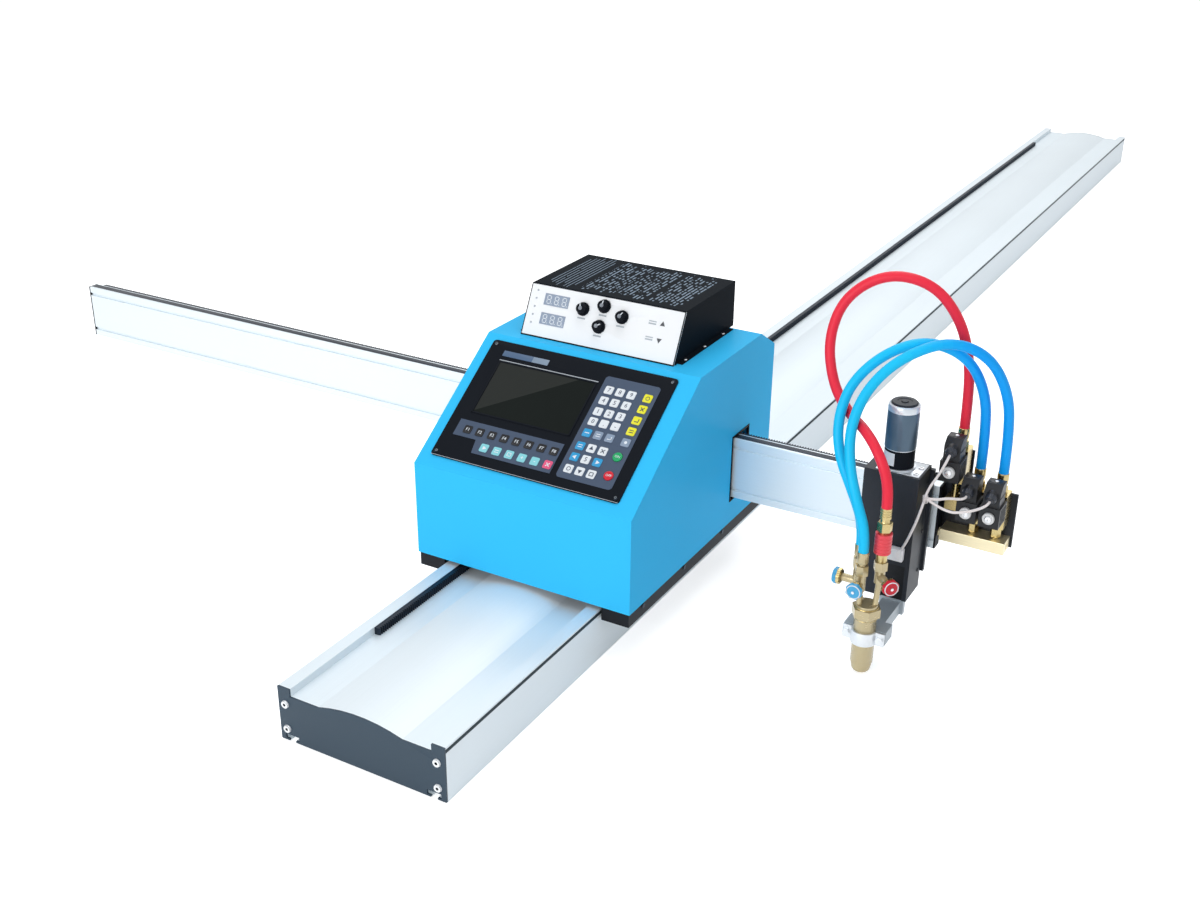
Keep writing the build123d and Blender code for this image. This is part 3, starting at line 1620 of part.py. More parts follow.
# Torch clamp: the front strap with two ears, and its two bolts
strap_back_y = torch_y - clamp_gap
with BuildPart() as torch_clamp:
    strap_radius = barrel_radius + clamp_band
    upright(torch_x, torch_y, torch_arm_bottom, torch_arm_top, strap_radius)
    box_between(
        torch_x - clamp_ear,
        torch_x + clamp_ear,
        strap_back_y - clamp_band,
        strap_back_y,
        torch_arm_bottom,
        torch_arm_top,
    )
    upright(
        torch_x,
        torch_y,
        torch_arm_bottom - overcut,
        torch_arm_top + overcut,
        barrel_radius + seat_fit,
        mode=Mode.SUBTRACT,
    )
    box_between(
        torch_x - strap_radius - overcut,
        torch_x + strap_radius + overcut,
        strap_back_y,
        torch_y + strap_radius + overcut,
        torch_arm_bottom - overcut,
        torch_arm_top + overcut,
        mode=Mode.SUBTRACT,
    )
    for x in clamp_bolt_xs:
        seat = (x, strap_back_y - clamp_band, torch_arm_middle)
        rod(seat, (0, 1, 0), clamp_bolt_length, clamp_bolt_radius)
        with BuildSketch(Plane(origin=seat, x_dir=(1, 0, 0), z_dir=(0, -1, 0))) as bolt_head:
            RegularPolygon(clamp_bolt_flats / 2, 6, major_radius=False)
        extrude(amount=clamp_bolt_head)
torch_clamp.part.label = "torch_clamp"
export_step(torch_clamp.part, "parts/torch_clamp.step")

# Torch nozzle: the tapered tip with its centre bore
with BuildPart() as torch_nozzle:
    with BuildSketch(Plane(origin=(torch_x, torch_y, 0), x_dir=(1, 0, 0), z_dir=(0, -1, 0))) as section:
        with BuildLine() as outline:
            Polyline(
                (nozzle_bore_radius, torch_tip_z),
                (barrel_radius - nozzle_face_outset, torch_tip_z),
                (barrel_radius - nozzle_bevel_outset, torch_tip_z + nozzle_bevel_height),
                (barrel_radius - nozzle_step, torch_tip_z + nozzle_height),
                (nozzle_bore_radius, torch_tip_z + nozzle_height),
                close=True,
            )
        make_face()
    revolve(axis=Axis((torch_x, torch_y, 0), (0, 0, 1)))
torch_nozzle.part.label = "torch_nozzle"
export_step(torch_nozzle.part, "parts/torch_nozzle.step")

# Torch body: barrel, hexagon collar, three tubes, three needle valves and the oxygen hose tails
collar_top_z = barrel_top_z + collar_height
oxygen_nut_top_z = oxygen_body_top_z + oxygen_nut_height
oxygen_ferrule_z = oxygen_hose_end_z - ferrule_length
with BuildPart() as torch_body:
    upright(torch_x, torch_y, torch_tip_z + nozzle_height, barrel_top_z, barrel_radius)
    upright_hex(torch_x, torch_y, barrel_top_z, collar_top_z, collar_flats)
    upright(
        torch_x,
        torch_y,
        collar_top_z,
        collar_top_z + head_plate_height,
        collar_flats / 2 - head_plate_inset,
    )
    for gas, (x, y) in valve_tubes.items():
        axis_z = valve_axis_heights[gas]
        away = Vector(x - torch_x, y - torch_y, 0)
        reach = min(tube_foot_reach, away.length)
        foot = Vector(torch_x, torch_y, collar_top_z - overcut) + away.normalized() * reach
        head = Vector(x, y, axis_z - needle_body_half + tube_overlap)
        rod(foot, head - foot, (head - foot).length, tube_radius)
        upright(x, y, axis_z - needle_body_half, axis_z + needle_body_half, needle_body_radius)
        direction = Vector(*knob_directions[gas]).normalized()
        centre = Vector(x, y, axis_z)
        rod(centre, direction, knob_reaches[gas] - knob_thickness / 2 - body_gap, bonnet_radius)
        rod(centre, direction, knob_reaches[gas] + knob_pin_stand, knob_pin_radius)
    for x, y in (preheat_tube, cutting_tube):
        upright(x, y, oxygen_body_bottom_z, oxygen_body_top_z, needle_body_radius)
        upright_hex(x, y, oxygen_body_top_z, oxygen_nut_top_z, oxygen_nut_flats)
        upright(x, y, oxygen_nut_top_z, oxygen_ferrule_z, neck_radius)
        upright(x, y, oxygen_ferrule_z, oxygen_hose_end_z, ferrule_radius)
    fuel_body_z = valve_axis_heights["fuel"] + needle_body_half
    upright_hex(fuel_tube[0], fuel_tube[1], fuel_body_z, fuel_body_top_z, fuel_nut_flats)
torch_body.part.label = "torch_body"
export_step(torch_body.part, "parts/torch_body.step")

# Flashback arrestor on the fuel line: brass base, red barrel, brass nut and the fuel hose tail
arrestor_nut_top_z = arrestor_nut_z + arrestor_nut_height
arrestor_tail_z = arrestor_nut_top_z + tail_length
with BuildPart() as flashback_arrestor:
    x, y = fuel_tube
    upright(x, y, fuel_body_top_z, arrestor_bottom_z, arrestor_foot_radius)
    upright(x, y, arrestor_bottom_z, arrestor_top_z, arrestor_radius)
    upright(x, y, arrestor_top_z, arrestor_nut_z, arrestor_neck_radius)
    upright_hex(x, y, arrestor_nut_z, arrestor_nut_top_z, arrestor_nut_flats)
    upright(x, y, arrestor_nut_top_z, arrestor_tail_z, tail_radius)
    upright(x, y, arrestor_tail_z, fuel_hose_end_z, ferrule_radius)
flashback_arrestor.part.label = "flashback_arrestor"
export_step(flashback_arrestor.part, "parts/flashback_arrestor.step")

# Three scalloped torch knobs, each turning on its needle's pin
for gas, place in valve_tubes.items():
    direction = Vector(*knob_directions[gas]).normalized()
    centre = Vector(place[0], place[1], valve_axis_heights[gas])
    back = centre + direction * (knob_reaches[gas] - knob_thickness / 2)
    with BuildPart() as torch_knob:
        with BuildSketch(Plane(origin=back, x_dir=(0, 0, 1), z_dir=direction)) as knob_shape:
            Circle(knob_radius)
            with PolarLocations(knob_radius + knob_scallop_offset, knob_scallops):
                Circle(knob_scallop_radius, mode=Mode.SUBTRACT)
            Circle(knob_pin_radius + running_fit, mode=Mode.SUBTRACT)
        extrude(amount=knob_thickness)
    torch_knob.part.label = f"{gas}_knob"
    export_step(torch_knob.part, f"parts/{gas}_knob.step")

# Valve bracket: the black plate behind the valves, fixed to the back of the beam's end
bracket_front_y = manifold_back_y
bracket_back_y = bracket_front_y + bracket_thickness
bracket_left_x = beam_right_x - bracket_inset
bracket_right_x = manifold_right_x + bracket_overhang
neck_radius_at_bracket = fuel_inlet_radius + fuel_inlet_shoulder
inlet_y = bracket_back_y + bracket_hole_gap
with BuildPart() as valve_bracket:
    with BuildSketch(Plane.XZ.offset(-bracket_back_y)) as bracket_shape:
        Polygon(
            (bracket_left_x, manifold_bottom_z),
            (bracket_right_x, manifold_bottom_z),
            (bracket_right_x, bracket_top_z),
            (bracket_tower[1], bracket_top_z),
            (bracket_tower[1], bracket_tower_top_z),
            (bracket_tower[0], bracket_tower_top_z),
            (bracket_tower[0], bracket_left_top_z),
            (bracket_left_x, bracket_left_top_z),
            align=None,
        )
        with Locations((tee_x, tee_z)):
            Circle(neck_radius_at_bracket + bracket_hole_gap, mode=Mode.SUBTRACT)
    extrude(amount=bracket_thickness)
    box_between(
        bracket_left_x,
        beam_right_x - beam_cap_thickness - body_gap,
        beam_back_y,
        bracket_front_y,
        beam_bottom_z + bracket_foot_insets[0],
        beam_top_z - rack_height - bracket_foot_insets[1],
    )
valve_bracket.part.label = "valve_bracket"
export_step(valve_bracket.part, "parts/valve_bracket.step")

# Oxygen manifold: a drilled brass bar with a plug at its left end and its inlet at the right
manifold_mid_y = manifold_back_y - manifold_depth / 2
manifold_mid_z = manifold_bottom_z + manifold_height / 2
with BuildPart() as gas_manifold:
    box_between(
        manifold_left_x,
        manifold_right_x,
        manifold_back_y - manifold_depth,
        manifold_back_y,
        manifold_bottom_z,
        manifold_bottom_z + manifold_height,
    )
    rod(
        (manifold_right_x - manifold_bore_length, manifold_mid_y, manifold_mid_z),
        (1, 0, 0),
        manifold_bore_length,
        manifold_bore_radius,
        mode=Mode.SUBTRACT,
    )
    rod(
        (manifold_right_x - inlet_depth, manifold_mid_y, manifold_mid_z),
        (1, 0, 0),
        inlet_depth,
        inlet_radius,
        mode=Mode.SUBTRACT,
    )
    plug_seat = (manifold_left_x, manifold_mid_y - manifold_plug_offset, manifold_mid_z)
    with BuildSketch(Plane(origin=plug_seat, z_dir=(-1, 0, 0))) as plug_shape:
        RegularPolygon(manifold_plug_flats / 2, 6, major_radius=False)
    extrude(amount=manifold_plug_height)
gas_manifold.part.label = "gas_manifold"
export_step(gas_manifold.part, "parts/gas_manifold.step")

# Solenoid valve bodies with their lower unions, hose tails and the fuel valve's inlet tee
manifold_top_z = manifold_bottom_z + manifold_height
tee_front_y = valve_y - tee_half
tee_back_y = valve_y + tee_half
with BuildPart() as solenoid_valves:
    for x, lift in valve_places:
        block_z = valve_block_z + lift
        nut_z = block_z + valve_block_height
        hose_z = valve_hose_z + lift
        core_z = coil_bottom_z + lift + coil_size[2] / 2
        box_between(
            x - valve_block_width / 2,
            x + valve_block_width / 2,
            manifold_back_y - valve_block_depth,
            manifold_back_y,
            block_z,
            nut_z,
        )
        upright_hex(x, valve_y, nut_z, nut_z + valve_nut_height, valve_nut_flats)
        upright(x, valve_y, nut_z + valve_nut_height, hose_z - valve_ferrule_length, neck_radius)
        upright(x, valve_y, hose_z - valve_ferrule_length, hose_z, ferrule_radius)
        rod((x, manifold_back_y - valve_block_depth, core_z), (0, -1, 0), core_length, core_radius)
    for x, lift in valve_places[1:]:
        upright(x, valve_y, manifold_top_z, valve_block_z, union_radius)
        upright_hex(
            x,
            valve_y,
            manifold_top_z + union_nut_gaps[0],
            valve_block_z - union_nut_gaps[1],
            union_nut_flats,
        )
    box_between(
        tee_x - tee_half,
        tee_x + tee_half,
        tee_front_y,
        tee_back_y,
        tee_z - tee_height / 2,
        tee_z + tee_height / 2,
    )
    upright(tee_x, valve_y, tee_z + tee_height / 2, valve_block_z + valve_places[0][1], union_radius)
    rod((tee_x, tee_back_y, tee_z), (0, 1, 0), inlet_y - tee_back_y, neck_radius_at_bracket)
    rod((tee_x, inlet_y, tee_z), (0, 1, 0), fuel_inlet_length, fuel_inlet_radius)
    rod(
        (tee_x, inlet_y + fuel_inlet_length, tee_z),
        (0, -1, 0),
        fuel_inlet_length,
        fuel_inlet_bore,
        mode=Mode.SUBTRACT,
    )
solenoid_valves.part.label = "solenoid_valves"
export_step(solenoid_valves.part, "parts/solenoid_valves.step")

# Solenoid coils with their plug-on connectors and cable glands
connector_front_y = coil_front_y + connector_inset
connector_back_y = connector_front_y + connector_size[1]
with BuildPart() as solenoid_coils:
    for x, lift in valve_places:
        coil_z = coil_bottom_z + lift
        coil_top_z = coil_z + coil_size[2]
        connector_top_z = coil_top_z + connector_size[2]
        box_between(
            x - coil_size[0] / 2,
            x + coil_size[0] / 2,
            coil_front_y,
            coil_back_y,
            coil_z,
            coil_top_z,
        )
        nut_seat = (x, coil_front_y, coil_z + coil_size[2] / 2)
        rod(nut_seat, (0, -1, 0), coil_nut_height, coil_nut_radius)
        with BuildSketch(Plane.YZ.offset(x - connector_size[0] / 2)) as connector_side:
            Polygon(
                (connector_front_y, coil_top_z),
                (connector_back_y, coil_top_z),
                (connector_back_y, connector_top_z),
                (connector_front_y + connector_bevel[0], connector_top_z),
                (connector_front_y, connector_top_z - connector_bevel[1]),
                align=None,
            )
        extrude(amount=connector_size[0])
        gland_root = Vector(x, coil_front_y + gland_inset, coil_top_z + gland_rise)
        rod(gland_root, gland_direction, gland_length, gland_radius)
        rod(gland_root, gland_direction, gland_collar_length, gland_collar_radius)
solenoid_coils.part.label = "solenoid_coils"
export_step(solenoid_coils.part, "parts/solenoid_coils.step")

# Thin leads from the three glands to a tie, and on to a white plug clipped to the lifter's front
tie = Vector(*tie_place)
plug_front_y = lifter_front_y - plug_size[1]
lead_ends = [
    Vector(x, coil_front_y + gland_inset, coil_bottom_z + lift + coil_size[2] + gland_rise)
    + gland_direction * gland_length
    for x, lift in valve_places
]
lead_paths = [
    [lead_ends[0], lead_ends[0] + gland_direction * 12, (571, -1436, 308), (559, -1444, 284), tie],
    [lead_ends[1], lead_ends[1] + gland_direction * 8, (590, -1440, 276), (572, -1446, 270), tie],
    [lead_ends[2], lead_ends[2] + gland_direction * 10, (622, -1446, 262), (590, -1450, 256), tie],
    [tie, (553, -1456, 240), (545, -1460, 212), (537, -1459, 188), (530, -1457, 174)],
]
with BuildPart() as valve_leads:
    for points in lead_paths:
        with BuildLine() as lead_path:
            bent_wire([tuple(Vector(point)) for point in points])
        lead = lead_path.wire()
        with BuildSketch(Plane(origin=lead @ 0, z_dir=lead % 0)) as lead_section:
            Circle(lead_radius)
        sweep(path=lead)
    rod(tie - Vector(0, 0, tie_length / 2), (0, 0, 1), tie_length, tie_radius)
    box_between(
        plug_x - plug_size[0] / 2,
        plug_x + plug_size[0] / 2,
        plug_front_y,
        lifter_front_y,
        plug_z - plug_size[2] / 2,
        plug_z + plug_size[2] / 2,
    )
valve_leads.part.label = "valve_leads"
export_step(valve_leads.part, "parts/valve_leads.step")

# Three gas hoses from the valves to the torch
for name, route in (
    ("fuel_hose", fuel_route),
    ("oxygen_hose_1", preheat_route),
    ("oxygen_hose_2", cutting_route),
):
    with BuildPart() as hose:
        with BuildLine() as hose_path:
            bent_wire(route)
        centre_line = hose_path.wire()
        with BuildSketch(Plane(origin=centre_line @ 0, z_dir=centre_line % 0)) as hose_section:
            Circle(hose_radius)
        sweep(path=centre_line)
    print(name, "centre line", round(centre_line.length), "mm long")
    hose.part.label = name
    export_step(hose.part, f"parts/{name}.step")
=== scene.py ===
import math
import bpy
from mathutils import Matrix, Quaternion, Vector


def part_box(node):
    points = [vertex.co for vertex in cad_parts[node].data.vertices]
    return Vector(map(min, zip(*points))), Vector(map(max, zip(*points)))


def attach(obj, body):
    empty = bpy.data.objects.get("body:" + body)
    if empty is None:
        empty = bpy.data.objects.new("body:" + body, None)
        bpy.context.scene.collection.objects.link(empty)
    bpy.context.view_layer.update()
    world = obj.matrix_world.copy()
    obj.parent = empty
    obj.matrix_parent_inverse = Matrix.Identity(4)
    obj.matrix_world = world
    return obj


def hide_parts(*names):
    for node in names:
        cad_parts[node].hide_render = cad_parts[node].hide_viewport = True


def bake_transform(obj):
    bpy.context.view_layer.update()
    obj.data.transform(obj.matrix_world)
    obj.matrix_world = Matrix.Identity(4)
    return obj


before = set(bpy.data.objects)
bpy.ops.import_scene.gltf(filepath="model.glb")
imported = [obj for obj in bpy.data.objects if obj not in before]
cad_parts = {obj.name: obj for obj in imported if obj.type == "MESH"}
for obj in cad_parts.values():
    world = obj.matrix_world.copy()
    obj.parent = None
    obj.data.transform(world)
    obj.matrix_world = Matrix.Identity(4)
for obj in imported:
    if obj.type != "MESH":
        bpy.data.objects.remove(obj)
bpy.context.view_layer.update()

bl_info = {
    "name": "Rail cutting machine dresser",
    "version": (1, 0, 0),
    "blender": (4, 5, 0),
    "location": "3D View > Sidebar > Cutter",
    "description": "Dresses the rail cutting machine's frame with finishes, hoses, leads and panel details",
    "category": "Object",
}

# Places that the CAD model shares, in metres
COVER_LOW, COVER_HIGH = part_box("cover")
THC_LOW, THC_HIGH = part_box("thc_front_panel")
COVER_FRONT_HEIGHT = 0.1634
COVER_TOP_HEIGHT = 0.3176
SLOPE_RUN = 0.2221
PANEL_THICKNESS = 0.003
OVERLAY_THICKNESS = 0.0006
KEY_RISE = 0.0009
THC_LEAN = math.radians(26.9)
THC_CENTRE_X = -0.0038
THC_FRONT_Y = -1.4881
RAIL_HALF = 0.1455
GROOVE_HEIGHT = 0.0835
WINDOW_BACK_Y = -1.311
TORCH_AXIS = Vector((0.515, -1.549, 0.0))
LIFTER_AXIS = Vector((0.502, -1.4195, 0.0))
ARRESTOR_AXIS = Vector((0.529, -1.544, 0.0))
COIL_FRONT_Y = -1.409
COIL_FOOT_Z = 0.226
GLAND_LEAN = math.radians(25)

# Each gas valve's place along the beam, and its lift above the lowest coil
VALVES = ((0.579, 0.061), (0.612, 0.0), (0.648, 0.0))

# Hose routes, which repeat the CAD model's points in metres
FUEL_ROUTE = [
    (0.579, -1.349, 0.356), (0.579, -1.349, 0.404), (0.576, -1.355, 0.467), (0.558, -1.366, 0.534),
    (0.515, -1.379, 0.587), (0.447, -1.394, 0.597), (0.388, -1.409, 0.554), (0.373, -1.426, 0.486),
    (0.396, -1.448, 0.422), (0.437, -1.478, 0.394), (0.476, -1.514, 0.391), (0.509, -1.537, 0.366),
    (0.529, -1.544, 0.325), (0.529, -1.544, 0.289),
]
PREHEAT_ROUTE = [
    (0.612, -1.349, 0.295), (0.612, -1.349, 0.350), (0.609, -1.362, 0.422), (0.582, -1.384, 0.485),
    (0.527, -1.413, 0.511), (0.476, -1.445, 0.494), (0.435, -1.473, 0.449), (0.425, -1.497, 0.397),
    (0.438, -1.518, 0.345), (0.473, -1.535, 0.294), (0.492, -1.534, 0.247), (0.492, -1.534, 0.213),
]
CUTTING_ROUTE = [
    (0.648, -1.349, 0.295), (0.648, -1.349, 0.356), (0.643, -1.363, 0.430), (0.614, -1.389, 0.495),
    (0.560, -1.420, 0.519), (0.504, -1.455, 0.495), (0.466, -1.488, 0.452), (0.453, -1.518, 0.398),
    (0.464, -1.541, 0.344), (0.486, -1.555, 0.292), (0.504, -1.556, 0.247), (0.504, -1.556, 0.213),
]


class CutterSizes(bpy.types.PropertyGroup):
    """Sizes that a user of the dresser may change."""

    hose_diameter: bpy.props.FloatProperty(
        name="Hose diameter", description="Outside diameter of the three gas hoses",
        default=0.016, min=0.008, max=0.03, unit="LENGTH",
    )
    lead_diameter: bpy.props.FloatProperty(
        name="Lead diameter", description="Outside diameter of the thin valve leads",
        default=0.0042, min=0.001, max=0.008, unit="LENGTH",
    )
    sheet_edge: bpy.props.FloatProperty(
        name="Sheet edge", description="Radius of the rounded folds on the painted cover",
        default=0.0012, min=0.0001, max=0.004, unit="LENGTH",
    )
    cast_edge: bpy.props.FloatProperty(
        name="Machined edge", description="Width of the broken edges on machined parts",
        default=0.0004, min=0.0001, max=0.002, unit="LENGTH",
    )
    key_side: bpy.props.FloatProperty(
        name="Key side", description="Width and length of one square key",
        default=0.0145, min=0.01, max=0.018, unit="LENGTH",
    )
    dial_radius: bpy.props.FloatProperty(
        name="Dial radius", description="Radius of a height control dial's skirt",
        default=0.0114, min=0.006, max=0.013, unit="LENGTH",
    )


class CutterColours(bpy.types.PropertyGroup):
    """Finish colours that a user of the dresser may change."""

    cover_paint: bpy.props.FloatVectorProperty(
        name="Cover paint", description="Powder coat of the carriage cover", subtype="COLOR",
        size=3, default=(0.042, 0.53, 0.94), min=0.0, max=1.0,
    )
    hose_red: bpy.props.FloatVectorProperty(
        name="Fuel hose", description="Rubber of the fuel gas hose", subtype="COLOR",
        size=3, default=(0.86, 0.030, 0.062), min=0.0, max=1.0,
    )
    hose_blue: bpy.props.FloatVectorProperty(
        name="Oxygen hose", description="Rubber of the two oxygen hoses", subtype="COLOR",
        size=3, default=(0.002, 0.37, 0.97), min=0.0, max=1.0,
    )
    # Painted light: the oxygen hoses are drawn paler towards the torch, as if more light fell there.
    hose_painted_lit_blue: bpy.props.FloatVectorProperty(
        name="Oxygen hose, painted_lit end", description="Paler blue of the oxygen hoses towards the torch",
        subtype="COLOR", size=3, default=(0.010, 0.56, 0.93), min=0.0, max=1.0,
    )
    brass: bpy.props.FloatVectorProperty(
        name="Brass", description="Machined brass of the torch and valves", subtype="COLOR",
        size=3, default=(0.50, 0.40, 0.19), min=0.0, max=1.0,
    )
    aluminium: bpy.props.FloatVectorProperty(
        name="Aluminium", description="Extruded aluminium of the rail and beam", subtype="COLOR",
        size=3, default=(0.76, 0.83, 0.87), min=0.0, max=1.0,
    )


def sizes():
    return bpy.context.scene.cutter_sizes


def colours():
    return bpy.context.scene.cutter_colours


def clear_selection():
    """Leaves edit mode, if any, with nothing selected."""
    active = bpy.context.view_layer.objects.active
    if active is not None and active.mode != "OBJECT":
        bpy.ops.object.mode_set(mode="OBJECT")
    bpy.ops.object.select_all(action="DESELECT")


def pick(*pieces):
    """Selects only these pieces, the last one active."""
    clear_selection()
    for piece in pieces:
        piece.select_set(True)
    bpy.context.view_layer.objects.active = pieces[-1]


def choose(piece, kind, wanted):
    """Opens a piece in edit mode with only the edges or faces selected that a test accepts."""
    pick(piece)
    bpy.ops.object.mode_set(mode="EDIT")
    bpy.ops.mesh.select_mode(type=kind)
    bpy.ops.mesh.select_all(action="DESELECT")
    bpy.ops.object.mode_set(mode="OBJECT")
    for item in piece.data.edges if kind == "EDGE" else piece.data.polygons:
        item.select = wanted(item)
    bpy.ops.object.mode_set(mode="EDIT")


def named(name):
    """Names the object just added, and its mesh."""
    piece = bpy.context.object
    piece.name = name
    piece.data.name = name
    return piece


def settle(piece, place=None):
    """Moves a piece to its place and puts that place into its mesh."""
    if place is not None:
        piece.matrix_world = place @ piece.matrix_world
    pick(piece)
    bpy.ops.object.transform_apply(location=True, rotation=True, scale=True)
    return piece


def join(name, pieces):
    """Joins pieces into one, with that name."""
    pick(*pieces)
    if len(pieces) > 1:
        bpy.ops.object.join()
    return named(name)


def finish(piece, body, material, smooth=30):
    """Shades a piece, gives it its finish, if any, and makes it ride on its body."""
    pick(piece)
    bpy.ops.object.shade_smooth_by_angle(angle=math.radians(smooth))
    if material is not None:
        piece.data.materials.clear()
        piece.data.materials.append(material)
    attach(piece, body)


def axes_at(origin, x_axis, z_axis):
    """A place with its own axes, from an origin, a sideways direction and an outward direction."""
    x = Vector(x_axis).normalized()
    z = Vector(z_axis).normalized()
    y = z.cross(x)
    place = Matrix((x, y, z)).transposed().to_4x4()
    place.translation = Vector(origin)
    return place


def along(origin, direction):
    """A place whose own Z axis points in a direction."""
    place = Vector(direction).to_track_quat("Z", "Y").to_matrix().to_4x4()
    place.translation = Vector(origin)
    return place


def slope_place():
    """The place of the controller's sloping face: X across, Y up the slope, Z outwards."""
    angle = math.atan2(COVER_TOP_HEIGHT - COVER_FRONT_HEIGHT, SLOPE_RUN)
    origin = (0, COVER_LOW[1], COVER_LOW[2] + COVER_FRONT_HEIGHT)
    return axes_at(origin, (1, 0, 0), (0, -math.sin(angle), math.cos(angle)))


def thc_place():
    """The place of the height control's leaning front: X across, Y up the face, Z outwards."""
    origin = (THC_CENTRE_X, THC_FRONT_Y, COVER_LOW[2] + COVER_TOP_HEIGHT)
    return axes_at(origin, (1, 0, 0), (0, -math.cos(THC_LEAN), math.sin(THC_LEAN)))


def gland_direction():
    """The way out of a valve connector's gland, forward and down."""
    return Vector((0, -math.cos(GLAND_LEAN), -math.sin(GLAND_LEAN)))


def gland_roots():
    """The place where each valve connector's gland starts."""
    return [Vector((x, COIL_FRONT_Y + 0.008, COIL_FOOT_Z + lift + 0.056)) for x, lift in VALVES]


def bars_around(outer, inner):
    """The corners of four bars that fill the band between two rectangles."""
    (x0, y0), (x1, y1) = outer
    (in_x0, in_y0), (in_x1, in_y1) = inner
    return (
        ((x0, y0), (x1, in_y0)), ((x0, in_y1), (x1, y1)),
        ((x0, y0), (in_x0, y1)), ((in_x1, y0), (x1, y1)),
    )


def block(name, low, high, edge=0.0004, segments=2, place=None):
    """A block between two corners, with every edge rounded over unless the edge is zero."""
    clear_selection()
    low, high = Vector(low), Vector(high)
    bpy.ops.mesh.primitive_cube_add(size=1, location=(low + high) / 2)
    piece = named(name)
    piece.scale = high - low
    settle(piece)
    if edge:
        bpy.ops.object.mode_set(mode="EDIT")
        bpy.ops.mesh.select_all(action="SELECT")
        bpy.ops.mesh.bevel(offset=edge, segments=segments, affect="EDGES")
        bpy.ops.object.mode_set(mode="OBJECT")
    return settle(piece, place)


def grow(profile):
    """Extrudes the selected face through a list of (radius, height), in edit mode."""
    for (radius, height), (next_radius, next_height) in zip(profile, profile[1:]):
        bpy.ops.mesh.extrude_region_move(
            TRANSFORM_OT_translate={"value": (0, 0, next_height - height)}
        )
        ratio = next_radius / radius
        bpy.ops.transform.resize(value=(ratio, ratio, 1))


def close_up():
    """Leaves edit mode with the faces pointing outwards."""
    bpy.ops.mesh.select_all(action="SELECT")
    bpy.ops.mesh.normals_make_consistent(inside=False)
    bpy.ops.object.mode_set(mode="OBJECT")


def turned(name, profile, place=None, sides=40):
    """A turned piece: a disc grown through a list of (radius, height) along its place's Z axis."""
    clear_selection()
    radius, height = profile[0]
    bpy.ops.mesh.primitive_circle_add(
        vertices=sides, radius=radius, fill_type="NGON", location=(0, 0, height)
    )
    piece = named(name)
    bpy.ops.object.mode_set(mode="EDIT")
    bpy.ops.mesh.select_all(action="SELECT")
    grow(profile)
    close_up()
    return settle(piece, place)


def fluted(name, profile, flutes, depth, place, sides=6):
    """A turned piece whose rim has rounded hollows, like a hand knob."""
    clear_selection()
    radius, height = profile[0]
    bpy.ops.mesh.primitive_circle_add(
        vertices=flutes * sides, radius=radius, fill_type="NGON", location=(0, 0, height)
    )
    piece = named(name)
    for index, corner in enumerate(piece.data.vertices):
        hollow = 0.5 + 0.5 * math.cos(2 * math.pi * index / sides)
        corner.co.xy *= 1 - depth * hollow
    bpy.ops.object.mode_set(mode="EDIT")
    bpy.ops.mesh.select_all(action="SELECT")
    grow(profile)
    close_up()
    return settle(piece, place)


def hexagon(name, flats, low, high, place, edge=0.0006):
    """A hexagon nut with its corners turned off at both ends."""
    corner = flats / 2 / math.cos(math.pi / 6)
    profile = [
        (corner * 0.93, low), (corner, low + edge), (corner, high - edge), (corner * 0.93, high),
    ]
    return turned(name, profile, place, sides=6)


def ring(name, radius, thickness, place, around=32, across=10):
    """A round ring lying in its place's XY plane."""
    clear_selection()
    bpy.ops.mesh.primitive_torus_add(
        major_radius=radius, minor_radius=thickness, major_segments=around, minor_segments=across
    )
    return settle(named(name), place)


def copies(piece, places):
    """The piece itself at the first place, and a copy with its own mesh at each other place."""
    made = []
    for place in places[1:]:
        twin = piece.copy()
        twin.data = piece.data.copy()
        bpy.context.collection.objects.link(twin)
        made.append(settle(twin, place))
    made.insert(0, settle(piece, places[0]))
    return made


def shift(x=0.0, y=0.0, z=0.0):
    """A plain move, as a matrix."""
    return Matrix.Translation((x, y, z))


def lettering(text, size, place, depth=0.00012):
    """Flat raised characters, centred on their place, as a mesh."""
    clear_selection()
    bpy.ops.object.text_add()
    words = bpy.context.object
    words.data.body = text
    words.data.size = size
    words.data.align_x = "CENTER"
    words.data.align_y = "CENTER"
    words.data.resolution_u = 2
    words.data.extrude = depth
    pick(words)
    bpy.ops.object.convert(target="MESH")
    return settle(bpy.context.object, place)


def arithmetic(tree, kind, *values):
    """Adds a Math node to a tree, fed by numbers or sockets, and returns its output."""
    node = tree.nodes.new("ShaderNodeMath")
    node.operation = kind
    for socket, value in zip(node.inputs, values):
        if isinstance(value, (int, float)):
            socket.default_value = value
        else:
            tree.links.new(value, socket)
    return node.outputs[0]


def all_of(tree, tests):
    """One where every test is one."""
    result = tests[0]
    for test in tests[1:]:
        result = arithmetic(tree, "MULTIPLY", result, test)
    return result


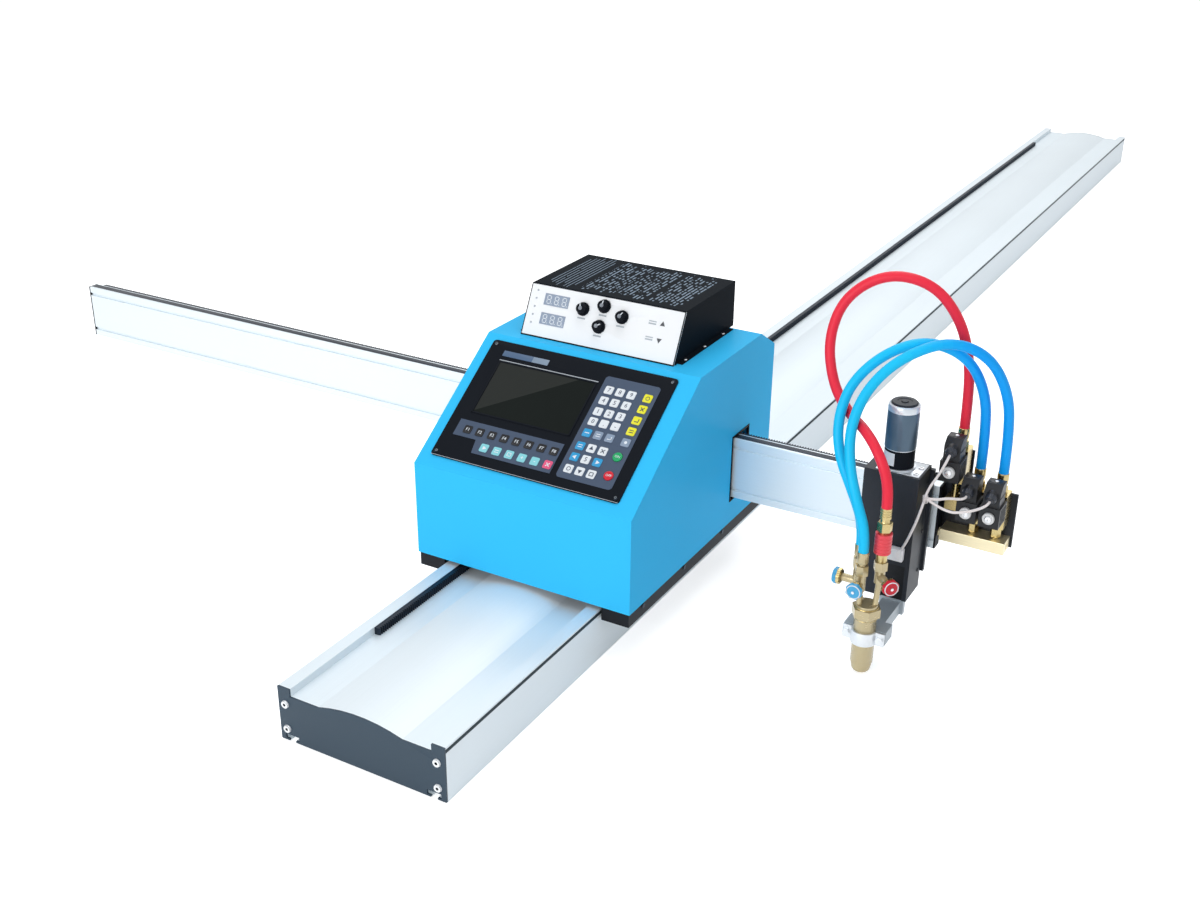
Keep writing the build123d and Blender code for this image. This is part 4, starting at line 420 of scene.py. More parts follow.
def surface_group():
    """A node group shared by every finish: grain, blotches and fine bumps on Object coordinates."""
    found = bpy.data.node_groups.get("workshop_surface")
    if found is not None:
        return found
    group = bpy.data.node_groups.new("workshop_surface", "ShaderNodeTree")
    sockets = group.interface
    for label, kind, default in (
        ("Colour", "NodeSocketColor", (0.5, 0.5, 0.5, 1)),
        ("Tint", "NodeSocketFloat", 0.1),
        ("Grain", "NodeSocketVector", (400, 400, 400)),
        ("Blotch", "NodeSocketFloat", 6.0),
        ("Roughness", "NodeSocketFloat", 0.4),
        ("Spread", "NodeSocketFloat", 0.1),
        ("Relief", "NodeSocketFloat", 0.1),
    ):
        socket = sockets.new_socket(name=label, in_out="INPUT", socket_type=kind)
        socket.default_value = default
    for label, kind in (
        ("Colour", "NodeSocketColor"), ("Roughness", "NodeSocketFloat"), ("Normal", "NodeSocketVector"),
    ):
        sockets.new_socket(name=label, in_out="OUTPUT", socket_type=kind)
    add = group.nodes.new
    link = group.links.new
    given = add("NodeGroupInput")
    result = add("NodeGroupOutput")
    place = add("ShaderNodeTexCoord")
    stretch = add("ShaderNodeMapping")
    link(place.outputs["Object"], stretch.inputs["Vector"])
    link(given.outputs["Grain"], stretch.inputs["Scale"])
    grain = add("ShaderNodeTexNoise")
    grain.inputs["Scale"].default_value = 1.0
    grain.inputs["Detail"].default_value = 3.0
    link(stretch.outputs["Vector"], grain.inputs["Vector"])
    blotch = add("ShaderNodeTexNoise")
    blotch.inputs["Detail"].default_value = 4.0
    link(place.outputs["Object"], blotch.inputs["Vector"])
    link(given.outputs["Blotch"], blotch.inputs["Scale"])
    both = arithmetic(group, "ADD", grain.outputs["Fac"], blotch.outputs["Fac"])
    centred = arithmetic(group, "SUBTRACT", both, 1.0)
    tinted = arithmetic(group, "MULTIPLY_ADD", centred, given.outputs["Tint"], 1.0)
    shade = add("ShaderNodeVectorMath")
    shade.operation = "SCALE"
    link(given.outputs["Colour"], shade.inputs[0])
    link(tinted, shade.inputs["Scale"])
    link(shade.outputs[0], result.inputs["Colour"])
    polish = arithmetic(group, "MULTIPLY_ADD", centred, given.outputs["Spread"], given.outputs["Roughness"])
    polish.node.use_clamp = True
    link(polish, result.inputs["Roughness"])
    relief = add("ShaderNodeBump")
    relief.inputs["Distance"].default_value = 0.0004
    link(grain.outputs["Fac"], relief.inputs["Height"])
    link(given.outputs["Relief"], relief.inputs["Strength"])
    link(relief.outputs["Normal"], result.inputs["Normal"])
    return group


def surface(name, colour, roughness, metallic=0.0, tint=0.1, grain=(900, 900, 900), blotch=6.0,
            spread=0.12, relief=0.1, coat=0.0, specular=0.5):
    """A finish with its own grain, blotches and roughness, from the shared group."""
    found = bpy.data.materials.get(name)
    if found is not None:
        if "finish" not in found.node_tree.nodes:
            raise ValueError(f"{name} is already the name of one of the frame's slots")
        return found
    material = bpy.data.materials.new(name)
    material.use_nodes = True
    shader = material.node_tree.nodes["Principled BSDF"]
    shader.inputs["Metallic"].default_value = metallic
    shader.inputs["Coat Weight"].default_value = coat
    shader.inputs["Coat Roughness"].default_value = 0.12
    shader.inputs["Specular IOR Level"].default_value = specular
    made = material.node_tree.nodes.new("ShaderNodeGroup")
    made.name = "finish"
    made.node_tree = surface_group()
    for label, value in (
        ("Colour", (*colour, 1)), ("Tint", tint), ("Grain", grain), ("Blotch", blotch),
        ("Roughness", roughness), ("Spread", spread), ("Relief", relief),
    ):
        made.inputs[label].default_value = value
    for given, taken in (("Colour", "Base Color"), ("Roughness", "Roughness"), ("Normal", "Normal")):
        material.node_tree.links.new(made.outputs[given], shader.inputs[taken])
    return material


def rail_aluminium():
    """Brushed aluminium, drawn along the rail, with painted shade down in each side groove."""
    brushed = surface("brushed_rail", tuple(colours().aluminium), 0.5, metallic=0.22, tint=0.07,
                      grain=(900, 6, 900), blotch=2.5, spread=0.14, relief=0.12, specular=0.4)
    tree = brushed.node_tree
    if "groove_shade" in tree.nodes:
        return brushed
    # Painted shade: the inside of each side groove is coloured dark, where shadow falls.
    skin, depth, half_height = 0.0003, 0.0040, 0.0042
    axes = object_axes(tree)
    side = arithmetic(tree, "ABSOLUTE", axes["X"])
    rise = arithmetic(tree, "ABSOLUTE", arithmetic(tree, "SUBTRACT", axes["Z"], GROOVE_HEIGHT))
    inside = all_of(tree, (
        arithmetic(tree, "LESS_THAN", side, RAIL_HALF - skin),
        arithmetic(tree, "GREATER_THAN", side, RAIL_HALF - depth),
        arithmetic(tree, "LESS_THAN", rise, half_height),
    ))
    return second_colour(brushed, "groove_shade", inside, (0.05, 0.07, 0.085))


def beam_aluminium():
    """Brushed aluminium, drawn along the beam, paler and more like a mirror than the rail."""
    pale = tuple(min(0.95, part * 1.06) for part in colours().aluminium)
    return surface("brushed_beam", pale, 0.48, metallic=0.5, tint=0.05, grain=(6, 900, 900),
                   blotch=2.5, spread=0.12, relief=0.1)


def machined_aluminium():
    return surface("machined_aluminium", (0.62, 0.64, 0.66), 0.34, metallic=1.0, tint=0.12,
                   grain=(60, 900, 900), relief=0.15)


def powder_coat(name, colour, roughness=0.36):
    return surface(name, colour, roughness, tint=0.05, grain=(1400, 1400, 1400), blotch=3.0,
                   spread=0.1, relief=0.06, specular=0.025)


def black_paint():
    return surface("black_paint", (0.012, 0.014, 0.018), 0.5, tint=0.25, grain=(1600, 1600, 1600),
                   relief=0.16, specular=0.12)


def anodised_black():
    return surface("anodised_black", (0.028, 0.032, 0.040), 0.42, metallic=0.15, tint=0.3,
                   grain=(1200, 1200, 60), relief=0.1, specular=0.16)


def black_oxide():
    return surface("black_oxide", (0.018, 0.026, 0.040), 0.4, metallic=0.5, tint=0.4,
                   grain=(700, 700, 700), relief=0.25, specular=0.2)


def black_plastic():
    return surface("black_plastic", (0.007, 0.009, 0.013), 0.48, tint=0.25, grain=(1500, 1500, 1500),
                   relief=0.12, specular=0.05)


def brass_finish():
    return surface("turned_brass", tuple(colours().brass), 0.27, metallic=1.0, tint=0.22,
                   grain=(200, 200, 1800), blotch=40.0, spread=0.2, relief=0.1)


def torch_brass():
    """Paler and smoother than the valves' brass."""
    pale = tuple(0.78 * part + 0.09 for part in colours().brass)
    return surface("torch_brass", pale, 0.24, metallic=0.55, tint=0.10, grain=(200, 200, 1800),
                   blotch=18.0, spread=0.12, relief=0.06)


def bar_brass():
    return surface("drawn_brass_bar", (0.80, 0.71, 0.48), 0.36, metallic=0.8, tint=0.16,
                   grain=(60, 900, 900), blotch=25.0, spread=0.2, relief=0.12)


def zinc_plate():
    return surface("zinc_plate", (0.68, 0.69, 0.71), 0.3, metallic=1.0, tint=0.2,
                   grain=(500, 500, 500), blotch=60.0, spread=0.2, relief=0.12)


def ground_steel():
    return surface("ground_steel", (0.55, 0.56, 0.58), 0.26, metallic=1.0, tint=0.15,
                   grain=(900, 900, 120), relief=0.1)


def hose_rubber(name, colour):
    return surface(name, colour, 0.4, tint=0.12, grain=(1500, 1500, 700), blotch=14.0,
                   spread=0.14, relief=0.22, specular=0.2)


def lead_sleeve():
    return surface("lead_sleeve", (0.80, 0.74, 0.72), 0.3, tint=0.22, grain=(300, 300, 300),
                   blotch=50.0, relief=0.2, coat=0.3)


def display_glass():
    return surface("display_glass", (0.007, 0.010, 0.009), 0.16, tint=0.3, grain=(900, 900, 900),
                   blotch=8.0, spread=0.04, relief=0.01, specular=0.08)


def printed_ink(name, colour):
    return surface(name, colour, 0.42, tint=0.12, grain=(1800, 1800, 1800), spread=0.08, relief=0.04)


def white_ink():
    return printed_ink("white_ink", (0.75, 0.8, 0.85))


# Pale grey ink for printed marks, also used for the painted highlight lines by the screen.
def pale_grey_ink_and_highlight():
    return printed_ink("pale_grey_ink_and_highlight", (0.42, 0.46, 0.5))


def moulded_key(name, colour):
    return surface(name, colour, 0.34, tint=0.08, grain=(1400, 1400, 1400), spread=0.1, relief=0.05,
                   coat=0.06, specular=0.3)


def object_axes(tree):
    """The X, Y and Z outputs of the piece's own coordinates."""
    place = tree.nodes.new("ShaderNodeTexCoord")
    split = tree.nodes.new("ShaderNodeSeparateXYZ")
    tree.links.new(place.outputs["Object"], split.inputs[0])
    return split.outputs


def second_colour(material, name, mask, colour):
    """Lays a second colour over a finish wherever its mask is one."""
    nodes, link = material.node_tree.nodes, material.node_tree.links.new
    over = nodes.new("ShaderNodeMix")
    over.name = name
    over.data_type = "RGBA"
    over.inputs["B"].default_value = (*colour, 1)
    link(mask, over.inputs["Factor"])
    shader = nodes["Principled BSDF"]
    link(shader.inputs["Base Color"].links[0].from_socket, over.inputs["A"])
    link(over.outputs["Result"], shader.inputs["Base Color"])
    return material


def dress(node, material, edge=0.0):
    """Gives a CAD node its finish, and rounds its edges with modifiers."""
    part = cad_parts[node]
    for held in part.material_slots:
        held.material = material
    if not edge:
        return
    weld = part.modifiers.new("joined corners", "WELD")
    weld.merge_threshold = 0.00001
    flat = part.modifiers.new("whole faces", "DECIMATE")
    flat.decimate_type = "DISSOLVE"
    flat.angle_limit = math.radians(1.5)
    rounded = part.modifiers.new("rounded edges", "BEVEL")
    rounded.limit_method = "ANGLE"
    rounded.angle_limit = math.radians(32)
    rounded.width = edge
    rounded.segments = 2


def smooth_line(name, route):
    """A NURBS curve along the route's points."""
    line = bpy.data.curves.new(name, "CURVE")
    line.dimensions = "3D"
    line.resolution_u = 8
    spline = line.splines.new("NURBS")
    spline.points.add(len(route) - 1)
    for point, place in zip(spline.points, route):
        point.co = (*place, 1)
    spline.order_u = 3
    spline.use_endpoint_u = True
    piece = bpy.data.objects.new(name, line)
    bpy.context.collection.objects.link(piece)
    return piece


def line_points(piece):
    """The points that a curve with no bevel runs through."""
    bpy.context.view_layer.update()
    mesh = bpy.data.meshes.new_from_object(piece)
    points = [vertex.co.copy() for vertex in mesh.vertices]
    bpy.data.meshes.remove(mesh)
    return points


def as_tube(piece, radius):
    """Gives the curve its round section and makes it a mesh with closed ends."""
    piece.data.bevel_depth = radius
    piece.data.bevel_resolution = 6
    piece.data.use_fill_caps = True
    pick(piece)
    bpy.ops.object.convert(target="MESH")
    return bpy.context.object


class CUTTER_OT_stage(bpy.types.Operator):
    """Makes the camera at the photograph's angle, the soft lamps, the pale floor and the world."""

    bl_idname = "cutter.stage"
    bl_label = "Stage"

    def execute(self, context):
        self.make_camera()
        self.make_lamps()
        self.make_world()
        self.make_floor()
        return {"FINISHED"}

    def make_camera(self):
        yaw, pitch, roll = math.radians(-29.708), math.radians(24.950), math.radians(0.556)
        focal_px, width_px, sensor_mm = 1438.5, 1200.0, 36.0
        lens = bpy.data.cameras.new("camera")
        lens.sensor_width = sensor_mm
        lens.lens = sensor_mm * focal_px / width_px
        lens.clip_start, lens.clip_end = 0.05, 60.0
        camera = bpy.data.objects.new("camera", lens)
        bpy.context.collection.objects.link(camera)
        camera.location = (1.0989, -3.4005, 1.2606)
        ahead = Vector((
            math.sin(yaw) * math.cos(pitch), math.cos(yaw) * math.cos(pitch), -math.sin(pitch)
        ))
        camera.rotation_mode = "QUATERNION"
        camera.rotation_quaternion = ahead.to_track_quat("-Z", "Y") @ Quaternion((0, 0, 1), roll)
        bpy.context.scene.camera = camera

    def lamp(self, name, place, target, width, power):
        light = bpy.data.lights.new(name, "AREA")
        light.shape = "RECTANGLE"
        light.size = width
        light.size_y = width * 0.7
        light.energy = power
        lamp = bpy.data.objects.new(name, light)
        bpy.context.collection.objects.link(lamp)
        lamp.location = place
        lamp.rotation_mode = "QUATERNION"
        aim = Vector(target) - Vector(place)
        lamp.rotation_quaternion = aim.to_track_quat("-Z", "Y")

    def make_lamps(self):
        self.lamp("front_lamp", (-0.4, -5.0, 1.3), (0.1, -1.5, 0.2), 2.4, 62)
        self.lamp("top_lamp", (0.2, -1.2, 3.6), (0.1, -1.3, 0.2), 3.0, 40)
        self.lamp("side_lamp", (3.6, -2.2, 2.2), (0.3, -1.4, 0.2), 2.2, 9)
        self.lamp("far_lamp", (-1.0, 2.2, 3.4), (0.0, 0.8, 0.0), 3.0, 62)

    def make_world(self):
        world = bpy.data.worlds.new("studio")
        bpy.context.scene.world = world
        world.use_nodes = True
        nodes, link = world.node_tree.nodes, world.node_tree.links.new
        background = nodes["Background"]
        background.inputs["Color"].default_value = (0.93, 0.96, 1.0, 1)
        background.inputs["Strength"].default_value = 0.42
        white = nodes.new("ShaderNodeBackground")
        white.inputs["Color"].default_value = (1, 1, 1, 1)
        mix = nodes.new("ShaderNodeMixShader")
        link(self.seen_directly(world.node_tree), mix.inputs["Fac"])
        link(background.outputs[0], mix.inputs[1])
        link(white.outputs[0], mix.inputs[2])
        link(mix.outputs[0], nodes["World Output"].inputs["Surface"])
        bpy.context.scene.view_settings.view_transform = "Standard"

    def seen_directly(self, tree):
        """One for rays from the camera, from a reflection or through glass."""
        path = tree.nodes.new("ShaderNodeLightPath").outputs
        direct = arithmetic(tree, "MAXIMUM", path["Is Camera Ray"], path["Is Glossy Ray"])
        return arithmetic(tree, "MAXIMUM", direct, path["Is Transmission Ray"])

    def make_floor(self):
        clear_selection()
        bpy.ops.mesh.primitive_plane_add(size=30, location=(0, 4, -0.0005))
        floor = named("floor")
        material = bpy.data.materials.new("pale_floor")
        material.use_nodes = True
        nodes, link = material.node_tree.nodes, material.node_tree.links.new
        shader = nodes["Principled BSDF"]
        shader.inputs["Base Color"].default_value = (0.93, 0.94, 0.95, 1)
        shader.inputs["Roughness"].default_value = 0.8
        glow = nodes.new("ShaderNodeEmission")
        both = nodes.new("ShaderNodeAddShader")
        lift = arithmetic(material.node_tree, "MULTIPLY", self.seen_directly(material.node_tree), 0.60)
        link(lift, glow.inputs["Strength"])
        link(shader.outputs[0], both.inputs[0])
        link(glow.outputs[0], both.inputs[1])
        link(both.outputs[0], nodes["Material Output"].inputs["Surface"])
        floor.data.materials.append(material)
        settle(floor)


class CUTTER_OT_hoses(bpy.types.Operator):
    """Lays the three gas hoses from the valves to the torch, with a crimped sleeve at each end."""

    bl_idname = "cutter.hoses"
    bl_label = "Gas hoses"

    # Painted light: these blue steps make the hoses paler towards the torch, where the light is stronger.
    blue_steps = 8
    deep_from_x = 0.600
    pale_from_x = 0.510

    def execute(self, context):
        red = [hose_rubber("red_hose_rubber", tuple(colours().hose_red))]
        blues = self.blues()
        self.hose("fuel_hose", FUEL_ROUTE, red, "hose_red")
        self.hose("oxygen_hose_1", PREHEAT_ROUTE, blues, "hose_blue")
        self.hose("oxygen_hose_2", CUTTING_ROUTE, blues, "hose_blue")
        self.sleeves()
        return {"FINISHED"}

    def blues(self):
        """Rubbers in small steps, from the deep blue at the valves to the paler one at the torch, which is
        painted light.
        """
        deep, pale = Vector(colours().hose_blue), Vector(colours().hose_painted_lit_blue)
        last = self.blue_steps - 1
        return [hose_rubber(f"blue_hose_rubber_{step}", tuple(deep.lerp(pale, step / last)))
                for step in range(self.blue_steps)]

    def colour_in(self, piece, rubbers):
        """Gives every face the rubber of its place along the hose, so the colour moves with the hose."""
        for rubber in rubbers:
            piece.data.materials.append(rubber)
        last = len(rubbers) - 1
        for face in piece.data.polygons:
            share = (self.deep_from_x - face.center.x) / (self.deep_from_x - self.pale_from_x)
            face.material_index = round(last * min(max(share, 0.0), 1.0))

    def hose(self, node, route, rubbers, slot):
        diameter = sizes().hose_diameter
        line = smooth_line(f"{node}_rubber", route)
        path = line_points(line)
        piece = as_tube(line, diameter / 2)
        pick(piece)
        bpy.ops.object.shade_smooth()
        self.colour_in(piece, rubbers)
        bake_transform(piece)
        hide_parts(node)

    def sleeves(self):
        """Crimped brass sleeves, with three grooves each."""
        grip = sizes().hose_diameter / 2 + 0.0006
        pinch = grip - 0.0009
        profile = [(grip, -0.0165)]
        for step in range(3):
            foot = -0.0125 + step * 0.004
            profile += [(grip, foot), (pinch, foot + 0.0008), (pinch, foot + 0.0016), (grip, foot + 0.0024)]
        profile += [(grip, 0.0), (grip - 0.0004, 0.0006)]
        brass = brass_finish()
        for body, ends in (
            ("beam", [FUEL_ROUTE[0], PREHEAT_ROUTE[0], CUTTING_ROUTE[0]]),
            ("torch", [FUEL_ROUTE[-1], PREHEAT_ROUTE[-1], CUTTING_ROUTE[-1]]),
        ):
            first = turned(f"{body}_hose_sleeves", profile)
            pieces = copies(first, [Matrix.Translation(end) for end in ends])
            finish(join(f"{body}_hose_sleeves", pieces), body, brass)


class CUTTER_OT_valve_leads(bpy.types.Operator):
    """Runs the thin leads from the valve plugs to the tie and on to the white plug."""

    bl_idname = "cutter.valve_leads"
    bl_label = "Valve leads"

    def execute(self, context):
        tie = Vector((0.558, -1.449, 0.272))
        out = gland_direction()
        ends = [root + out * 0.017 for root in gland_roots()]
        routes = [
            [ends[0], ends[0] + out * 0.012, (0.571, -1.436, 0.308), (0.559, -1.444, 0.284), tie],
            [ends[1], ends[1] + out * 0.008, (0.590, -1.440, 0.276), (0.572, -1.446, 0.270), tie],
            [ends[2], ends[2] + out * 0.010, (0.622, -1.446, 0.262), (0.590, -1.450, 0.256), tie],
            [tie, (0.553, -1.456, 0.240), (0.545, -1.460, 0.212), (0.537, -1.459, 0.188),
             (0.530, -1.457, 0.174)],
        ]
        leads = []
        for number, route in enumerate(routes, start=1):
            line = smooth_line(f"lead_{number}", route)
            leads.append(as_tube(line, sizes().lead_diameter / 2))
        leads.append(self.tie(tie))
        sleeve = join("valve_lead_wires", leads)
        finish(sleeve, "beam", lead_sleeve(), smooth=50)
        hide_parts("valve_leads")
        plug = self.plug(Vector((0.524, -1.4555, 0.168)))
        finish(plug, "beam", moulded_key("white_plug", (0.93, 0.92, 0.94)))
        return {"FINISHED"}

    def tie(self, place):
        """A spiral wrap round the bundle, as four rings."""
        rings = []
        for step in range(4):
            offset = Vector((0.0004 * step, -0.0006 * step, 0.003 - 0.003 * step))
            rings.append(ring(f"wrap_{step}", 0.0036, 0.0007, Matrix.Translation(place + offset)))
        return join("lead_wrap", rings)

    def plug(self, place):
        """The two-row plug housing with its latch and ribs."""
        shell = block("plug_shell", (-0.012, -0.005, -0.0105), (0.012, 0.005, 0.0105), 0.0008)
        latch = block("plug_latch", (-0.004, -0.0062, -0.006), (0.004, -0.0048, 0.008), 0.0004)
        ribs = []
        for step in range(4):
            x = -0.009 + step * 0.006
            ribs.append(block(f"plug_rib_{step}", (x - 0.0007, -0.0056, -0.0095),
                              (x + 0.0007, -0.0048, -0.0065), 0.0002))
        return settle(join("valve_lead_plug", [shell, latch, *ribs]), Matrix.Translation(place))


class CUTTER_OT_rail(bpy.types.Operator):
    """Finishes the floor rail, its end caps, screws and toothed rack."""

    bl_idname = "cutter.rail"
    bl_label = "Floor rail"

    def execute(self, context):
        dress("rail_extrusion", rail_aluminium(), 0.0006)
        cap = surface("end_cap_slate", (0.030, 0.054, 0.080), 0.5, tint=0.14, grain=(1500, 1500, 1500),
                      relief=0.14, specular=0.3)
        dress("rail_end_caps", cap, sizes().cast_edge)
        dress("rail_rack", black_oxide())
        self.button_screws()
        return {"FINISHED"}

    def button_screws(self):
        """Domed screws with a hexagon recess in place of the plain heads."""
        low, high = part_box("end_cap_screws")
        radius, height = 0.0056, 0.003
        wide = radius * 1.12
        head = [(wide, 0.0), (wide, 0.0006), (wide * 0.93, 0.0016), (wide * 0.72, 0.0025),
                (radius * 0.42, height)]
        socket = [(radius * 0.40, height), (radius * 0.38, height - 0.0016)]
        places = []
        for end, y in ((-1, low[1] + height), (1, high[1] - height)):
            for x in (low[0] + radius, high[0] - radius):
                for z in (low[2] + radius, high[2] - radius):
                    places.append(along((x, y, z), (0, end, 0)))
        dome = turned("screw_dome", head, sides=32)
        bite = turned("screw_socket", socket, sides=6)
        one = join("end_cap_button_screws", [bite, dome])
        screws = join("end_cap_button_screws", copies(one, places))
        bright = surface("bright_zinc", (0.80, 0.82, 0.84), 0.36, metallic=0.45, tint=0.1,
                         grain=(500, 500, 500), relief=0.08)
        finish(screws, "rail", bright)
        dress("end_cap_screws", bright)


class CUTTER_OT_cover(bpy.types.Operator):
    """Paints the carriage cover and the chassis under it, and edges the beam's window."""

    bl_idname = "cutter.cover"
    bl_label = "Cover and chassis"

    def execute(self, context):
        paint = powder_coat("cover_powder_coat", tuple(colours().cover_paint))
        dress("cover", paint, sizes().sheet_edge)
        dress("chassis", black_paint(), sizes().cast_edge)
        dress("cover_screws", black_oxide(), 0.0003)
        dress("beam_guide_bracket", machined_aluminium(), sizes().cast_edge)
        self.window_trim()
        return {"FINISHED"}

    def window_trim(self):
        """A thin black rubber edging round the beam's window on each side."""
        beam_low, beam_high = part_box("beam_extrusion")
        y0, y1 = beam_low[1] - 0.005, WINDOW_BACK_Y
        z0, z1 = beam_low[2] - 0.005, beam_high[2] + 0.0025
        width, lap = 0.0022, 0.0008
        strips = []
        for side in (-1, 1):
            x = side * COVER_HIGH[0]
            near, far = sorted((x - side * 0.003, x + side * 0.0012))
            for low, high in (
                ((y0 - width, z0 - width), (y0 + lap, z1 + width)),
                ((y1 - lap, z0 - width), (y1 + width, z1 + width)),
                ((y0, z0 - width), (y1, z0 + lap)),
                ((y0, z1 - lap), (y1, z1 + width)),
            ):
                strips.append(block("window_strip", (near, *low), (far, *high)))
        edging = join("beam_window_edging", strips)
        finish(edging, "carriage", black_plastic())


class CUTTER_OT_controller(bpy.types.Operator):
    """Details the controller: panel, overlays, screen, title strip, keys and their legends."""

    bl_idname = "cutter.controller"
    bl_label = "Controller"

    # Columns run across the panel and rows up it, in metres from the middle of the slope's foot
    number_columns = (0.064, 0.084, 0.1045)
    number_rows = (0.209, 0.1883, 0.167, 0.1475, 0.1255, 0.1005, 0.0795, 0.0573)
    mark_column = 0.1335
    mark_rows = (0.2096, 0.1884, 0.1668, 0.1459, 0.1247)
    function_row, function_from, function_step = 0.0797, -0.1368, 0.0233
    cursor_row, cursor_from, cursor_step = 0.0545, -0.0918, 0.0238
    screen_centre = (-0.0555, 0.1655)
    screen_half = (0.0905, 0.0505)
    key_paints = {
        "white": (0.74, 0.78, 0.82), "grey": (0.24, 0.31, 0.42), "blue": (0.03, 0.32, 0.62),
        "yellow": (0.80, 0.76, 0.03), "black": (0.008, 0.009, 0.012), "cyan": (0.24, 0.62, 0.68),
        "pink": (0.75, 0.10, 0.22),
    }

    def execute(self, context):
        self.place = slope_place()
        self.top = PANEL_THICKNESS + OVERLAY_THICKNESS
        dress("controller_panel", black_plastic(), 0.0006)
        dress("controller_housing", zinc_plate(), sizes().cast_edge)
        slate = surface("overlay_slate_film", (0.062, 0.088, 0.140), 0.44, tint=0.1,
                        grain=(1800, 1800, 1800), relief=0.05, specular=0.2)
        dress("key_overlays", slate, 0.0002)
        dress("display_windows", self.screen_glass())
        self.screen_frame()
        self.corner_screws()
        self.title_strip()
        self.keys()
        self.legends()
        self.round_keys()
        return {"FINISHED"}

    def screen_glass(self):
        """Dark glass with a painted reflection: a paler tone above a slanting line."""
        glass = display_glass()
        tree = glass.node_tree
        if "painted_glare_tone" in tree.nodes:
            return glass
        # Painted reflection: the glass above the slanting line is coloured paler, like a glare.
        slope_cosine, lean, split = 0.8215, -0.6558, 0.21075
        axes = object_axes(tree)
        up = arithmetic(tree, "DIVIDE", arithmetic(tree, "SUBTRACT", axes["Y"], COVER_LOW[1]), slope_cosine)
        slanted = arithmetic(tree, "ADD", up, arithmetic(tree, "MULTIPLY", axes["X"], lean))
        glare_side = arithmetic(tree, "GREATER_THAN", slanted, split)
        return second_colour(glass, "painted_glare_tone", glare_side, (0.024, 0.027, 0.025))

    def screen_frame(self):
        """The raised lip round the screen, and the painted highlight lines above it and at the panel's
        foot.
        """
        (x, s), (half_x, half_s) = self.screen_centre, self.screen_half
        left, right, foot, head = x - half_x, x + half_x, s - half_s, s + half_s
        lip, low_z, high_z = 0.0028, 0.0016, PANEL_THICKNESS + 0.0012
        bars = [
            block("lip_bar", (*low, low_z), (*high, high_z), 0.0005)
            for low, high in bars_around(((left - lip, foot - lip), (right + lip, head + lip)),
                                         ((left, foot), (right, head)))
        ]
        lip_piece = settle(join("screen_lip", bars), self.place)
        finish(lip_piece, "carriage", black_plastic())
        # Painted highlights: two pale strips along the screen's top edge and the panel's foot, where light
        # catches the edges.
        for name, low, high, edge in (
            ("screen_top_highlight", (left - 0.004, head + 0.0032, PANEL_THICKNESS - 0.0002),
             (right + 0.004, head + 0.0048, PANEL_THICKNESS + 0.0004), 0.0002),
            ("panel_foot_highlight", (-0.1785, 0.0222, PANEL_THICKNESS - 0.0004),
             (0.1668, 0.0230, PANEL_THICKNESS + 0.0002), 0.0001),
        ):
            line = block(name, low, high, edge, place=self.place)
            finish(line, "carriage", pale_grey_ink_and_highlight())

    def corner_screws(self):
        """A small screw near each corner of the panel."""
        head = turned("panel_screws", [(0.0026, 0), (0.0026, 0.0006), (0.0019, 0.0013), (0.0010, 0.0013),
                                       (0.0009, 0.0004)], sides=24)
        places = [self.place @ shift(x, s, PANEL_THICKNESS) for x in (-0.1715, 0.1598)
                  for s in (0.0300, 0.2490)]
        finish(join("panel_screws", copies(head, places)), "carriage",
               surface("dull_screw", (0.16, 0.18, 0.20), 0.36, metallic=0.6, tint=0.2,
                       grain=(600, 600, 600), relief=0.1))

    def title_strip(self):
        """A bare strip above the screen: a slate blue length with a paler end."""
        for name, low, high, ink, colour in (
            ("title_strip", -0.150, -0.092, "strip_blue_ink", (0.06, 0.115, 0.21)),
            ("title_strip_end", -0.0925, -0.062, "strip_pale_ink", (0.20, 0.27, 0.36)),
        ):
            strip = block(name, (low, 0.2285, PANEL_THICKNESS - 0.0002),
                          (high, 0.2395, PANEL_THICKNESS + 0.0004), 0.0003)
            finish(settle(strip, self.place), "carriage", printed_ink(ink, colour))

    def key_list(self):
        """(across, up, finish, legend) of every square key."""
        digits = ("789", "456", "123", "0.-")
        keys = []
        for row, s in zip(digits, self.number_rows):
            for sign, x in zip(row, self.number_columns):
                keys.append((x, s, "white", sign))
        lower = (
            ("blue", "bar"), ("grey", "bars"), ("grey", "corner"),
            ("blue", "bars"), ("white", "up"), ("white", "cross"),
            ("blue", "left"), ("white", "5"), ("blue", "right"),
            ("white", "ring"), ("white", "down"), ("white", "square"),
        )
        places = [(x, s) for s in self.number_rows[4:] for x in self.number_columns]
        for (x, s), (finish_name, legend) in zip(places, lower):
            keys.append((x, s, finish_name, legend))
        for s, legend in zip(self.mark_rows, ("ring", "cross", "corner", "bars")):
            keys.append((self.mark_column, s, "yellow", legend))
        keys.append((self.mark_column, self.mark_rows[4], "grey", "dot"))
        for step in range(8):
            x = self.function_from + step * self.function_step
            keys.append((x, self.function_row, "black", f"F{step + 1}"))
        for step, legend in enumerate(("right", "bars", "square", "+", "-", "cross")):
            x = self.cursor_from + step * self.cursor_step
            keys.append((x, self.cursor_row, "pink" if legend == "cross" else "cyan", legend))
        return keys

    def keys(self):
        """One square key with a dished top, copied to every place in its own colour."""
        half = sizes().key_side / 2
        keys = self.key_list()
        names = sorted({key[2] for key in keys})
        first = block("square_keys", (-half, -half, -0.0002), (half, half, KEY_RISE), edge=0)
        corners = first.data.vertices

        def upright(edge):
            low, high = (corners[index].co.z for index in edge.vertices)
            return abs(high - low) > KEY_RISE / 2

